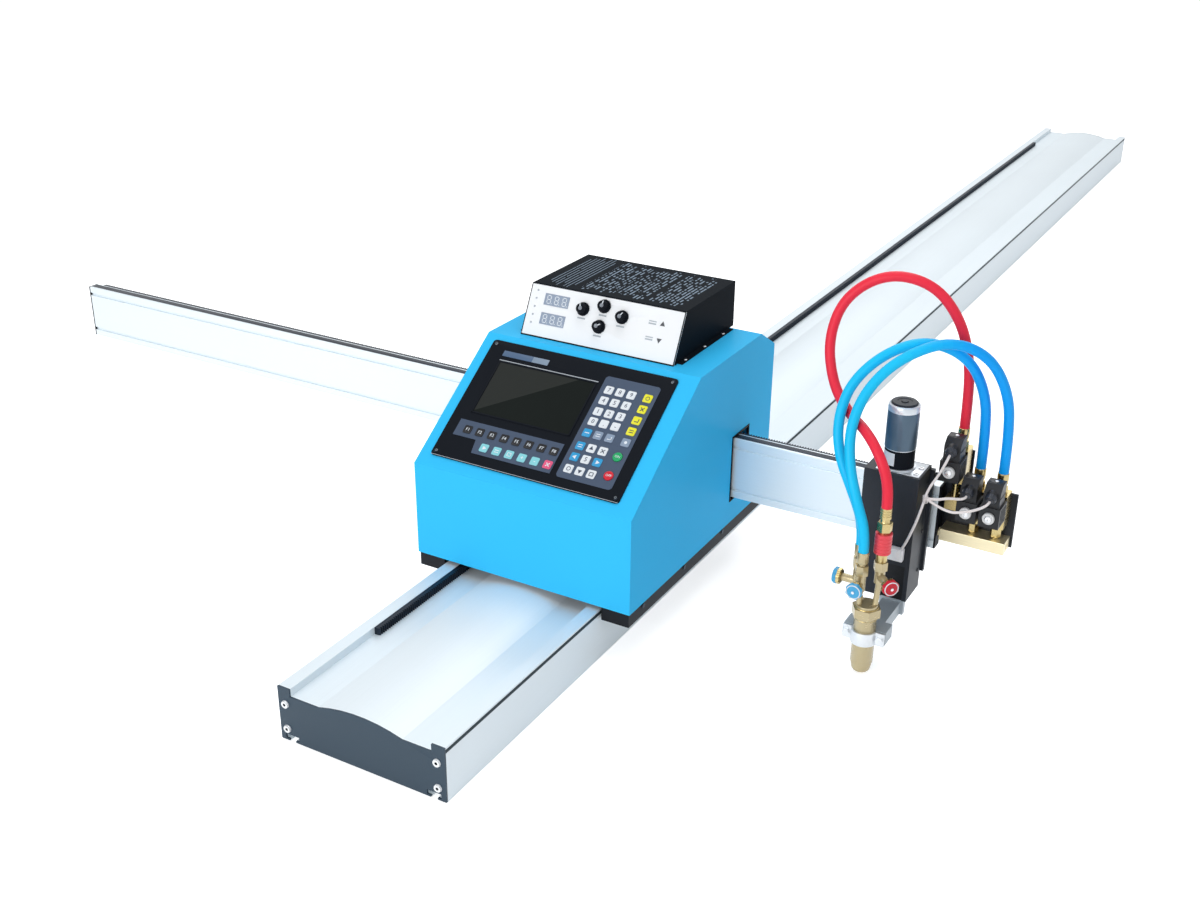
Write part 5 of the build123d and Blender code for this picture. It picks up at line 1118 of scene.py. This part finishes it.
        choose(first, "EDGE", upright)
        bpy.ops.mesh.bevel(offset=0.0022, segments=4, affect="EDGES")
        choose(first, "FACE", lambda face: face.normal.z > 0.9)
        bpy.ops.mesh.inset(thickness=0.0009, depth=0.0)
        bpy.ops.mesh.inset(thickness=0.0006, depth=-0.00025)
        bpy.ops.object.mode_set(mode="OBJECT")
        for name in names:
            first.data.materials.append(moulded_key(f"key_{name}", self.key_paints[name]))
        places = [self.place @ shift(x, s, self.top) for x, s, _, _ in keys]
        pieces = copies(first, places)
        for piece, key in zip(pieces, keys):
            index = names.index(key[2])
            for face in piece.data.polygons:
                face.material_index = index
        pad = join("square_keys", pieces)
        finish(pad, "carriage", None)
        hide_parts("keypad_keys")

    def legends(self):
        """Plain numbers, arrows and signs, dark on the pale keys and pale on the dark ones."""
        one_sign_size, two_sign_size = 0.0108, 0.0078
        dark, pale = [], []
        for x, s, finish_name, legend in self.key_list():
            place = self.place @ shift(x, s, self.top + KEY_RISE - 0.0002)
            mark = self.sign(legend, place)
            if mark is None:
                mark = lettering(legend, one_sign_size if len(legend) == 1 else two_sign_size, place)
            marks = dark if finish_name in ("white", "yellow") else pale
            marks.append(mark)
        finish(join("dark_key_legends", dark), "carriage",
               printed_ink("navy_ink", (0.02, 0.035, 0.07)))
        finish(join("pale_key_legends", pale), "carriage", white_ink())

    def sign(self, legend, place):
        """An arrow, ring, square, dot, cross or bars on a key, or nothing for a number."""
        spin = {"up": 0, "left": 90, "down": 180, "right": -90}
        rise = 0.00022
        bars = {
            "bar": ((-0.0040, -0.0008, 0.0040, 0.0008),),
            "bars": ((-0.0038, 0.0013, 0.0038, 0.0025), (-0.0038, -0.0025, 0.0038, -0.0013)),
            "corner": ((-0.0036, -0.0030, 0.0036, -0.0018), (0.0024, -0.0030, 0.0036, 0.0032)),
            "square": ((-0.0036, 0.0024, 0.0036, 0.0034), (-0.0036, -0.0034, 0.0036, -0.0024),
                       (-0.0036, -0.0034, -0.0026, 0.0034), (0.0026, -0.0034, 0.0036, 0.0034)),
        }
        if legend in spin:
            turn = Matrix.Rotation(math.radians(spin[legend]), 4, "Z")
            return turned("arrow", [(0.0042, 0), (0.0042, rise)], place @ turn, sides=3)
        if legend == "dot":
            return turned("dot", [(0.0026, 0), (0.0026, rise)], place, sides=20)
        if legend == "ring":
            return ring("circle", 0.0032, 0.0005, place, around=24, across=6)
        if legend == "cross":
            turns = [place @ Matrix.Rotation(math.radians(angle), 4, "Z") for angle in (45, -45)]
            return join("cross", [block("bar", (-0.0044, -0.0007, 0), (0.0044, 0.0007, rise), edge=0,
                                        place=turn) for turn in turns])
        if legend not in bars:
            return None
        return join(legend, [block("bar", (x0, y0, 0), (x1, y1, rise), edge=0, place=place)
                             for x0, y0, x1, y1 in bars[legend]])

    def round_keys(self):
        """Domed start and stop caps, each riding on its own moving key."""
        profile = [(0.0078, 0.00215), (0.008, 0.0024), (0.008, 0.0046), (0.0077, 0.0050),
                   (0.0070, 0.00525), (0.0060, 0.0053), (0.0048, 0.0051), (0.001, 0.00505)]
        for node, body, place, colour, slot, word in (
            ("start_key", "start_button", (0.132, 0.0973), (0.01, 0.36, 0.12), "start_green", "ON"),
            ("stop_key", "stop_button", (0.1327, 0.0624), (0.62, 0.012, 0.03), "stop_red", "OFF"),
        ):
            seat = self.place @ shift(*place)
            cap = turned(f"{node}_cap", profile, seat)
            finish(cap, body, moulded_key(f"{node}_gloss", colour))
            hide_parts(node)
            mark = lettering(word, 0.0058, seat @ shift(z=0.0051), depth=0.00015)
            mark.name = f"{node}_word"
            finish(mark, body, white_ink())


class CUTTER_OT_height_control(bpy.types.Operator):
    """Details the height control box: white front, number displays, dials, marks and printed lid."""

    bl_idname = "cutter.height_control"
    bl_label = "Height control"

    # Places on the front, across it and up it, in metres from the middle of its foot
    dials = ((-0.0386, 0.0616), (-0.0009, 0.0728), (0.0352, 0.0610), (-0.0024, 0.0381))
    windows = ((-0.0911, 0.0662), (-0.0911, 0.0335))
    arrow_rows = ((0.0625, 0), (0.0365, 180))
    # The printed lid's rows and columns, in metres from the front's left end
    row_pitch = 0.0068
    dense_from = 0.078
    column_gaps = ((0.078, 0.0045), (0.146, 0.0030), (0.205, 0.0050))

    def execute(self, context):
        self.place = thc_place()
        white = surface("panel_white", (0.90, 0.915, 0.93), 0.4, tint=0.04, grain=(1500, 1500, 1500),
                        relief=0.04, specular=0.3)
        dress("thc_front_panel", white, 0.0002)
        dress("thc_case", self.case_finish(), 0.0006)
        self.front_edging_and_shadow()
        self.number_displays()
        self.dial_caps()
        self.marks()
        self.case_screws()
        return {"FINISHED"}

    def case_finish(self):
        """Black paint whose lid carries pale printed rows, broken up like a table of settings."""
        material = surface("case_black_paint", (0.006, 0.009, 0.013), 0.5, tint=0.25,
                           grain=(1500, 1500, 1500), relief=0.12, specular=0.012)
        tree = material.node_tree
        if "print" in tree.nodes:
            return material

        def sums(kind, *values):
            return arithmetic(tree, kind, *values)

        def distance(axis, middle):
            return sums("ABSOLUTE", sums("SUBTRACT", axes[axis], middle))

        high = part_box("thc_case")[1]
        middle_x, middle_y = (THC_LOW[0] + THC_HIGH[0]) / 2, (THC_HIGH[1] + high[1]) / 2
        axes = object_axes(tree)
        scaled = sums("DIVIDE", axes["X"], self.row_pitch)
        row = sums("FLOOR", scaled)
        dense = sums("GREATER_THAN", axes["X"], THC_LOW[0] + self.dense_from)
        ink_share = sums("ADD", sums("MULTIPLY", dense, 0.20), 0.22)
        gap_share = sums("ADD", sums("MULTIPLY", dense, 0.17), 0.31)
        words = self.noise_at(tree, sums("MULTIPLY", row, 7.31), sums("MULTIPLY", axes["Y"], 105.0))
        ragged = self.noise_at(tree, sums("MULTIPLY", row, 3.77), axes["Z"])
        reach = sums("ADD", sums("MULTIPLY", ragged, 0.075), 0.036)
        tests = [
            sums("LESS_THAN", sums("FRACT", scaled), ink_share),
            sums("GREATER_THAN", words, gap_share),
            sums("LESS_THAN", distance("X", middle_x), 0.126),
            sums("LESS_THAN", distance("Y", middle_y), reach),
            sums("GREATER_THAN", axes["Z"], high[2] - 0.0002),
        ]
        for gap, width in self.column_gaps:
            tests.append(sums("GREATER_THAN", distance("X", THC_LOW[0] + gap), width))
        return second_colour(material, "print", all_of(tree, tests), (0.25, 0.32, 0.40))

    def noise_at(self, tree, x, y):
        """Smooth noise over two coordinates."""
        point = tree.nodes.new("ShaderNodeCombineXYZ")
        tree.links.new(x, point.inputs["X"])
        tree.links.new(y, point.inputs["Y"])
        noise = tree.nodes.new("ShaderNodeTexNoise")
        noise.inputs["Scale"].default_value = 1.0
        noise.inputs["Detail"].default_value = 1.0
        tree.links.new(point.outputs[0], noise.inputs["Vector"])
        return noise.outputs["Fac"]

    def front_edging_and_shadow(self):
        """The case's thin black lip round the white front, with a deeper black bar along its foot that is
        painted shadow.
        """
        half = (THC_HIGH[0] - THC_LOW[0]) / 2
        # Painted shadow: foot makes the bottom bar deeper than the lip and stands for the shadow under the
        # front.
        tall, thin, foot = 0.0896, 0.0015, 0.0024
        lips = [
            block("lip", (*low, -0.0010), (*high, 0.0005), 0.0002)
            for low, high in bars_around(((-half, 0.0), (half, tall)),
                                         ((-half + thin, foot), (half - thin, tall - thin)))
        ]
        edging = settle(join("front_edging_and_shadow", lips), self.place)
        finish(edging, "carriage", black_plastic())

    def number_displays(self):
        """Two grey windows with three pale seven-bar figures each."""
        half_x, half_s, figure_step = 0.0236, 0.0098, 0.0148
        panes, bars = [], []
        for x, s in self.windows:
            panes.append(block("pane", (x - half_x, s - half_s, 0.0), (x + half_x, s + half_s, 0.0006)))
            for step in (-1, 0, 1):
                bars += self.figure(x + step * figure_step, s)
        pane = settle(join("display_panes", panes), self.place)
        finish(pane, "carriage", printed_ink("pane_grey_blue", (0.27, 0.33, 0.43)))
        figures = settle(join("display_figures", bars), self.place)
        finish(figures, "carriage", printed_ink("figure_white", (0.72, 0.76, 0.80)))

    def figure(self, x, s):
        """The seven bars of one figure, and its point."""
        wide, tall, thick, gap = 0.0034, 0.0066, 0.0007, 0.0008
        back, front = 0.0004, 0.0008
        lines = []
        for step in (-1, 0, 1):
            y = s + step * tall
            lines.append(((x - wide + gap, y - thick), (x + wide - gap, y + thick)))
        for side in (-1, 1):
            for half in (0, 1):
                y = s + (half - 1) * tall
                lines.append(((x + side * wide - thick, y + gap),
                              (x + side * wide + thick, y + tall - gap)))
        lines.append(((x + wide + 0.0017, s - tall - thick), (x + wide + 0.0031, s - tall + thick)))
        return [block("bar", (*low, back), (*high, front), edge=0) for low, high in lines]

    def dial_caps(self):
        """Fluted dials with a skirt, a dished top, a white pointer line and a grey centre."""
        outer = sizes().dial_radius
        grey = surface("dial_centre_grey", (0.20, 0.22, 0.25), 0.34, metallic=0.4, tint=0.15,
                       grain=(700, 700, 700), relief=0.1)
        for number, (x, s) in enumerate(self.dials, start=1):
            seat = self.place @ shift(x, s)
            skirt = turned("skirt", [(outer, 0.0004), (outer, 0.0022), (outer * 0.86, 0.0034)], seat)
            grip = fluted("grip", [(outer * 0.80, 0.003), (outer * 0.76, 0.0112), (outer * 0.70, 0.0120),
                                   (outer * 0.58, 0.0121), (outer * 0.5, 0.0116)],
                          18, 0.09, seat, sides=4)
            dial = join(f"dial_cap_{number}", [skirt, grip])
            finish(dial, f"dial_{number}", black_plastic())
            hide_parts(f"thc_knob_{number}")
            turn = Matrix.Rotation(math.radians(40 - 25 * number), 4, "Z")
            line = block(f"dial_pointer_{number}", (-0.0008, 0.0030, 0.0112), (0.0008, 0.0080, 0.0125),
                         edge=0.0002, segments=1, place=seat @ turn)
            finish(line, f"dial_{number}", white_ink())
            disc = turned(f"dial_centre_{number}", [(0.0034, 0.0112), (0.0034, 0.0123), (0.0028, 0.0126),
                                                    (0.0012, 0.0124)], seat, sides=32)
            finish(disc, f"dial_{number}", grey)

    def marks(self):
        """Tick rings round the dials, lamp dots, rise and fall arrows and plain rules."""
        ink_rise, arrow_x, lamp_x = 0.00025, 0.109, -0.1305
        ticks = []
        for x, s in self.dials:
            for step in range(11):
                turn = Matrix.Rotation(math.radians(150 - 30 * step), 4, "Z")
                ticks.append(block("tick", (-0.0002, 0.0112, 0.0), (0.0002, 0.0126, ink_rise), edge=0,
                                   place=self.place @ shift(x, s) @ turn))
        for s, degrees in self.arrow_rows:
            turn = Matrix.Rotation(math.radians(degrees), 4, "Z")
            ticks.append(turned("arrow", [(0.0052, 0), (0.0052, 0.0003)],
                                self.place @ shift(arrow_x, s) @ turn, sides=3))
        dark = join("front_marks", ticks)
        finish(dark, "carriage", printed_ink("dark_grey_ink", (0.05, 0.055, 0.065)))
        dots = []
        for step in range(5):
            seat = self.place @ shift(lamp_x, 0.0785 - step * 0.0138)
            dots.append(turned("lamp", [(0.0018, 0), (0.0018, 0.0004), (0.0011, 0.0009)], seat, sides=16))
        rules = [((x - 0.0072, s - 0.0166), (x + 0.0072, s - 0.0140)) for x, s in self.dials]
        for s, _ in self.arrow_rows:
            rules.append(((0.084, s - 0.0030), (0.0975, s - 0.0006)))
            rules.append(((0.084, s + 0.0012), (0.0975, s + 0.0030)))
        for low, high in rules:
            dots.append(block("rule", (*low, 0.0), (*high, ink_rise), edge=0, place=self.place))
        pale = join("front_lamps", dots)
        finish(pale, "carriage", pale_grey_ink_and_highlight())

    def case_screws(self):
        """Zinc screws that hold the case's flanges down."""
        low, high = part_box("thc_case")
        places = []
        for x in (low[0] + 0.0045, high[0] - 0.0045):
            for y in (-1.455, -1.385, -1.315):
                places.append(shift(x, y, COVER_LOW[2] + COVER_TOP_HEIGHT + 0.0015))
        head = turned("flange_screws", [(0.0032, 0), (0.0032, 0.0008), (0.0024, 0.0018), (0.001, 0.0021)],
                      sides=24)
        finish(join("flange_screws", copies(head, places)), "carriage", zinc_plate())


class CUTTER_OT_carriage_works(bpy.types.Operator):
    """Finishes the motors, gears, wheels, rollers, tray and sockets inside and behind the cover."""

    bl_idname = "cutter.carriage_works"
    bl_label = "Carriage works"

    def execute(self, context):
        motor = surface("motor_dark_paint", (0.03, 0.032, 0.038), 0.4, metallic=0.3, tint=0.2,
                        grain=(1200, 1200, 1200), relief=0.15)
        edge = sizes().cast_edge
        dress("rail_drive_motor", motor, edge)
        dress("beam_drive_motor", motor, edge)
        dress("electronics_tray", zinc_plate(), edge)
        dress("rear_sockets", black_plastic(), 0.0003)
        for node in ("rail_pinion", "beam_pinion"):
            dress(node, ground_steel())
        tread = surface("wheel_tread", (0.16, 0.17, 0.18), 0.45, metallic=0.6, tint=0.2,
                        grain=(900, 900, 900), relief=0.2)
        for node in ("front_wheelset", "rear_wheelset"):
            dress(node, tread, 0.0008)
        for number in range(1, 5):
            dress(f"side_roller_{number}", ground_steel(), edge)
            dress(f"beam_roller_{number}", ground_steel(), edge)
        self.socket_pins()
        return {"FINISHED"}

    def socket_pins(self):
        """Brass contacts in the round sockets, and three blades in the power inlet."""
        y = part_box("rear_sockets")[1][1]
        circle, centre_z, count = 0.0045, 0.160, 5
        pins = []
        for x in (-0.120, -0.080, -0.040):
            for step in range(count):
                angle = step * 2 * math.pi / count
                seat = (x + circle * math.cos(angle), y - 0.0062, centre_z + circle * math.sin(angle))
                pins.append(turned("pin", [(0.0007, 0), (0.0007, 0.0042), (0.0003, 0.0048)],
                                   along(seat, (0, 1, 0)), sides=12))
        for x, z in ((0.052, 0.157), (0.068, 0.157), (0.060, 0.164)):
            pins.append(block("blade", (x - 0.001, y - 0.022, z - 0.003),
                              (x + 0.001, y - 0.008, z + 0.003), 0.0003))
        finish(join("socket_contacts", pins), "carriage", brass_finish())


class CUTTER_OT_beam(bpy.types.Operator):
    """Finishes the cross beam, its rack and end caps, and adds the dark strip on its top."""

    bl_idname = "cutter.beam"
    bl_label = "Cross beam"

    def execute(self, context):
        dress("beam_extrusion", beam_aluminium(), 0.0005)
        dress("beam_rack", black_oxide())
        dress("beam_end_caps", black_plastic(), sizes().cast_edge)
        self.top_strip()
        return {"FINISHED"}

    def top_strip(self):
        """The black wiper strip that lies along the beam's top."""
        low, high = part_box("beam_extrusion")
        strip = block("beam_top_strip", (low[0] + 0.002, low[1] + 0.004, high[2] - 0.0004),
                      (0.440, high[1] - 0.003, high[2] + 0.0002), 0.0002)
        finish(strip, "beam", black_oxide())


class CUTTER_OT_lifter(bpy.types.Operator):
    """Finishes the torch lifter: black housing, banded motor, rods, screw and clamp arm."""

    bl_idname = "cutter.lifter"
    bl_label = "Torch lifter"

    def execute(self, context):
        edge = sizes().cast_edge
        dress("lifter_housing", anodised_black(), 0.0008)
        dress("lifter_guide_rods", ground_steel())
        dress("lead_screw", ground_steel())
        dress("torch_carriage", self.arm_finish(), 0.0006)
        bright = surface("bright_cast", (0.74, 0.77, 0.80), 0.36, metallic=0.55, tint=0.12,
                         grain=(600, 600, 600), relief=0.1)
        dress("torch_clamp", bright, edge)
        self.motor()
        return {"FINISHED"}

    def arm_finish(self):
        """A grey cast arm whose slide, above it, is blackened."""
        grey = surface("cast_arm_grey", (0.40, 0.45, 0.49), 0.42, metallic=0.35, tint=0.14,
                       grain=(700, 700, 700), relief=0.14, specular=0.35)
        if "blackened" in grey.node_tree.nodes:
            return grey
        arm_top = 0.083
        above = arithmetic(grey.node_tree, "GREATER_THAN", object_axes(grey.node_tree)["Z"], arm_top)
        return second_colour(grey, "blackened", above, (0.010, 0.011, 0.014))

    def motor(self):
        """The lifter motor as turned bands, with a stepped lid, a label and two screws at its foot."""
        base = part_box("lifter_motor")[0][2]
        place = Matrix.Translation(LIFTER_AXIS + Vector((0, 0, base)))
        silver = surface("motor_silver", (0.66, 0.70, 0.74), 0.32, metallic=0.55, tint=0.15,
                         grain=(200, 200, 1800), relief=0.1)
        slate = surface("motor_slate", (0.082, 0.132, 0.185), 0.34, metallic=0.4, tint=0.12,
                        grain=(200, 200, 1500), relief=0.06)
        plate = block("motor_seat_plate", (-0.0275, -0.0262, -0.0002), (0.0415, 0.0262, 0.0014),
                      place=place)
        finish(plate, "beam", silver)
        for name, slot, material, profile in (
            ("motor_flange", "lifter_motor_grey", silver,
             [(0.0268, 0.0), (0.027, 0.0004), (0.027, 0.0036), (0.0266, 0.004)]),
            ("motor_gearbox", "case_black", black_plastic(),
             [(0.0238, 0.004), (0.0238, 0.0335), (0.0234, 0.034)]),
            ("motor_joint_line", "keys_white", silver, [(0.0241, 0.034), (0.0241, 0.0352)]),
            ("motor_can", "lifter_motor_grey", slate,
             [(0.0244, 0.0352), (0.0245, 0.036), (0.0245, 0.0955), (0.0243, 0.096)]),
            ("motor_crown", "lifter_motor_grey", silver,
             [(0.0246, 0.096), (0.0246, 0.1035), (0.0238, 0.1055), (0.0215, 0.107), (0.0205, 0.1064)]),
            ("motor_lid", "case_black", anodised_black(),
             [(0.0204, 0.106), (0.0204, 0.1085), (0.0190, 0.1097), (0.0120, 0.1097), (0.0112, 0.1090),
              (0.0060, 0.1090), (0.0052, 0.1105), (0.0016, 0.1108)]),
        ):
            band = turned(name, profile, place, sides=64)
            finish(band, "beam", material)
        label = self.label(place)
        finish(label, "beam", printed_ink("label_white", (0.74, 0.76, 0.78)))
        heads = []
        for x, y in ((0.035, -0.018), (0.035, 0.006)):
            seat = place @ shift(x, y)
            heads.append(turned("head", [(0.0042, 0), (0.0042, 0.0022), (0.0036, 0.0032), (0.0022, 0.0032),
                                         (0.0021, 0.0016)], seat, sides=32))
        finish(join("housing_screws", heads), "beam", zinc_plate())
        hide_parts("lifter_motor")

    def label(self, place):
        """A bare curved label wrapped part of the way round the gearbox."""
        first_degree, last_degree = -150, -85
        clear_selection()
        bpy.ops.mesh.primitive_circle_add(vertices=72, radius=0.0240, fill_type="NOTHING",
                                          location=(0, 0, 0.009))
        label = named("motor_label")
        bpy.ops.object.mode_set(mode="EDIT")
        bpy.ops.mesh.select_mode(type="VERT")
        bpy.ops.mesh.select_all(action="DESELECT")
        bpy.ops.object.mode_set(mode="OBJECT")
        for corner in label.data.vertices:
            degrees = math.degrees(math.atan2(corner.co.y, corner.co.x))
            corner.select = not first_degree <= degrees <= last_degree
        bpy.ops.object.mode_set(mode="EDIT")
        bpy.ops.mesh.delete(type="VERT")
        bpy.ops.mesh.select_all(action="SELECT")
        bpy.ops.mesh.extrude_region_move(TRANSFORM_OT_translate={"value": (0, 0, 0.021)})
        bpy.ops.object.mode_set(mode="OBJECT")
        skin = label.modifiers.new("thickness", "SOLIDIFY")
        skin.thickness = 0.0003
        skin.offset = 0.0
        pick(label)
        bpy.ops.object.modifier_apply(modifier=skin.name)
        return settle(label, place)


class CUTTER_OT_torch(bpy.types.Operator):
    """Finishes the torch and makes its flashback arrestor, fluted knobs and rings."""

    bl_idname = "cutter.torch"
    bl_label = "Torch"

    def execute(self, context):
        dress("torch_body", torch_brass(), 0.0005)
        dress("torch_nozzle", torch_brass(), 0.0006)
        self.arrestor()
        self.knobs()
        self.trims()
        return {"FINISHED"}

    def knobs(self):
        """Scalloped brass rims round coloured faces with a white ring."""
        inputs = (
            ("fuel", (0.529, -1.544, 0.1735), (1, -1, 0), 0.035, (0.58, 0.012, 0.03), "knob_red"),
            ("preheat", (0.492, -1.534, 0.149), (-1, 0, 0), 0.032, (0.07, 0.40, 0.70), "knob_blue"),
            ("cutting", (0.504, -1.556, 0.159), (0, -1, 0), 0.025, (0.07, 0.40, 0.70), "knob_blue"),
        )
        for gas, centre, direction, reach, colour, slot in inputs:
            outward = Vector(direction).normalized()
            seat = along(Vector(centre) + outward * (reach - 0.006), outward)
            rim = fluted(f"{gas}_knob_rim", [(0.0112, 0.0), (0.0128, 0.001), (0.0130, 0.003),
                                            (0.0130, 0.0062)], 8, 0.11, seat, sides=8)
            cap = fluted(f"{gas}_knob_cap", [(0.0131, 0.0058), (0.0134, 0.0068), (0.0134, 0.0104),
                                            (0.0129, 0.0116), (0.0118, 0.0121)], 8, 0.10, seat, sides=8)
            body = f"{gas}_valve"
            gloss = moulded_key(f"{gas}_knob_colour", colour)
            finish(rim, body, brass_finish())
            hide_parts(f"{gas}_knob")
            plate = turned(f"{gas}_knob_face", [(0.0100, 0.0116), (0.0100, 0.0124), (0.0092, 0.0128),
                                               (0.0028, 0.0126)], seat)
            finish(plate, body, gloss)
            finish(cap, body, gloss)
            circle = ring(f"{gas}_knob_ring", 0.0106, 0.0009, seat @ shift(z=0.0121))
            finish(circle, body, printed_ink("ring_white", (0.72, 0.75, 0.78)))
            nut = hexagon(f"{gas}_knob_nut", 0.0046, 0.0122, 0.0146, seat)
            finish(nut, body, zinc_plate())

    def arrestor(self):
        """The fuel line's flashback arrestor: brass ends and a ribbed red barrel."""
        place = Matrix.Translation(ARRESTOR_AXIS)
        foot = turned("arrestor_foot", [(0.0082, 0.199), (0.0085, 0.2), (0.0085, 0.2135), (0.0082, 0.214)],
                      place)
        ribs = [(0.0124, 0.214), (0.013, 0.2148)]
        for step in range(5):
            z = 0.2175 + step * 0.0056
            ribs += [(0.013, z), (0.0123, z + 0.0007), (0.0123, z + 0.0019), (0.013, z + 0.0026)]
        ribs += [(0.013, 0.2472), (0.0124, 0.248), (0.0081, 0.2481)]
        barrel = turned("arrestor_barrel", ribs, place, sides=48)
        neck = turned("arrestor_neck", [(0.008, 0.248), (0.008, 0.251)], place)
        nut = hexagon("arrestor_nut", 0.020, 0.251, 0.266, place)
        tail = turned("arrestor_tail", [(0.0078, 0.266), (0.007, 0.268), (0.007, 0.2895)], place)
        brass = join("arrestor_brass", [foot, neck, nut, tail])
        finish(brass, "torch", brass_finish())
        red = surface("arrestor_red_anodise", (0.70, 0.055, 0.075), 0.3, metallic=0.35, tint=0.12,
                      grain=(900, 900, 900), relief=0.08)
        finish(barrel, "torch", red)
        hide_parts("flashback_arrestor")

    def trims(self):
        """Two thin rings round the torch's barrel."""
        place = Matrix.Translation(TORCH_AXIS)
        rings = [
            ring("groove_ring", 0.0174, 0.0004, place @ shift(z=0.0995), around=64, across=8),
            ring("collar_ring", 0.0180, 0.0011, place @ shift(z=0.1195), around=48, across=8),
        ]
        finish(join("torch_rings", rings), "torch", brass_finish())


class CUTTER_OT_gas_valves(bpy.types.Operator):
    """Finishes the manifold, valve bodies, coils, plugs and their bracket."""

    bl_idname = "cutter.gas_valves"
    bl_label = "Gas valves"

    nut_height = 0.017

    def execute(self, context):
        dress("gas_manifold", bar_brass(), 0.0008)
        dress("solenoid_valves", brass_finish(), 0.0005)
        dress("valve_bracket", anodised_black(), sizes().cast_edge)
        coil = surface("coil_moulding", (0.012, 0.013, 0.016), 0.38, tint=0.3, grain=(1300, 1300, 1300),
                       relief=0.14, specular=0.3)
        dress("solenoid_coils", coil, 0.0009)
        self.coil_nuts()
        self.coil_ribs(coil)
        self.plug_details(coil)
        return {"FINISHED"}

    def seats(self, height):
        """The place of each coil's front face at a height above its foot, facing forward."""
        places = []
        for x, lift in VALVES:
            places.append(along((x, COIL_FRONT_Y, COIL_FOOT_Z + lift + height), (0, -1, 0)))
        return places

    def coil_nuts(self):
        """A white washer with a steel cap nut, raised in a cross, on each coil."""
        washer = turned("coil_washers", [(0.0094, 0.0), (0.0094, 0.0036), (0.0088, 0.0044),
                                         (0.0062, 0.0044)], sides=48)
        washers = join("coil_washers", copies(washer, self.seats(self.nut_height)))
        finish(washers, "beam", moulded_key("washer_white", (0.70, 0.70, 0.70)))
        cap = turned("cap", [(0.0056, 0.004), (0.0056, 0.0058), (0.0046, 0.0068), (0.0016, 0.0072)],
                     sides=32)
        bar = block("cross_bar", (-0.0048, -0.0009, 0.0066), (0.0048, 0.0009, 0.0076), 0.0003)
        cross = block("cross_bar", (-0.0009, -0.0048, 0.0066), (0.0009, 0.0048, 0.0076), 0.0003)
        nut = join("coil_cap_nuts", [cap, bar, cross])
        nuts = join("coil_cap_nuts", copies(nut, self.seats(self.nut_height)))
        finish(nuts, "beam", zinc_plate())

    def coil_ribs(self, coil):
        """Moulded ribs down both sides of every coil."""
        ribs = []
        for x, lift in VALVES:
            foot = COIL_FOOT_Z + lift
            for flank in (x - 0.016, x + 0.016):
                for step in range(4):
                    y = COIL_FRONT_Y + 0.008 + step * 0.0075
                    ribs.append(block("rib", (flank - 0.0006, y - 0.0011, foot + 0.003),
                                      (flank + 0.0006, y + 0.0011, foot + 0.031), 0.0003))
        finish(join("coil_ribs", ribs), "beam", coil)

    def plug_details(self, coil):
        """Fluted gland nuts, lids, seams and the centre screw of each plug-on connector."""
        nut = [(0.0080, 0.0075), (0.0090, 0.0085), (0.0090, 0.0135), (0.0082, 0.0150), (0.0058, 0.0172),
               (0.0036, 0.0176)]
        glands, screws, lids = [], [], []
        for root in gland_roots():
            glands.append(fluted("gland", nut, 12, 0.06, along(root, gland_direction())))
        for x, lift in VALVES:
            top = COIL_FOOT_Z + lift + 0.070
            screws.append(turned("screw", [(0.0030, -0.0004), (0.0030, 0.0010), (0.0022, 0.0017)],
                                 shift(x, COIL_FRONT_Y + 0.022, top), sides=24))
            lids.append(block("lid", (x - 0.0115, COIL_FRONT_Y + 0.016, top - 0.001),
                              (x + 0.0115, COIL_FRONT_Y + 0.031, top + 0.0006), 0.0006))
            for flank in (x - 0.013, x + 0.013):
                lids.append(block("seam", (flank - 0.0006, COIL_FRONT_Y + 0.005, top - 0.0205),
                                  (flank + 0.0006, COIL_FRONT_Y + 0.0325, top - 0.0190), 0.0003))
        gloss = surface("gland_nylon", (0.022, 0.027, 0.040), 0.3, tint=0.2, grain=(1300, 1300, 1300),
                        relief=0.08, specular=0.4)
        finish(join("connector_glands", glands), "beam", gloss)
        finish(join("connector_lids", lids), "beam", coil)
        finish(join("connector_screws", screws), "beam", zinc_plate())


class CUTTER_PT_pieces(bpy.types.Panel):
    """Lists the cutter's pieces in the sidebar."""

    bl_idname = "CUTTER_PT_pieces"
    bl_label = "Cutter"
    bl_space_type = "VIEW_3D"
    bl_region_type = "UI"
    bl_category = "Cutter"

    def draw(self, context):
        column = self.layout.column(align=True)
        for operator in PIECE_OPERATORS:
            column.operator(operator.bl_idname)
        for group in (context.scene.cutter_sizes, context.scene.cutter_colours):
            box = self.layout.box()
            for name in group.bl_rna.properties.keys():
                if name not in ("rna_type", "name"):
                    box.prop(group, name)


PIECE_OPERATORS = (
    CUTTER_OT_stage,
    CUTTER_OT_hoses,
    CUTTER_OT_valve_leads,
    CUTTER_OT_rail,
    CUTTER_OT_cover,
    CUTTER_OT_controller,
    CUTTER_OT_height_control,
    CUTTER_OT_carriage_works,
    CUTTER_OT_beam,
    CUTTER_OT_lifter,
    CUTTER_OT_torch,
    CUTTER_OT_gas_valves,
)
CLASSES = (CutterSizes, CutterColours, *PIECE_OPERATORS, CUTTER_PT_pieces)


def register():
    for item in CLASSES:
        bpy.utils.register_class(item)
    bpy.types.Scene.cutter_sizes = bpy.props.PointerProperty(type=CutterSizes)
    bpy.types.Scene.cutter_colours = bpy.props.PointerProperty(type=CutterColours)


def unregister():
    del bpy.types.Scene.cutter_colours
    del bpy.types.Scene.cutter_sizes
    for item in reversed(CLASSES):
        bpy.utils.unregister_class(item)


def main():
    register()
    for operator in PIECE_OPERATORS:
        group, name = operator.bl_idname.split(".")
        getattr(getattr(bpy.ops, group), name)()


if __name__ == "__main__":
    main()
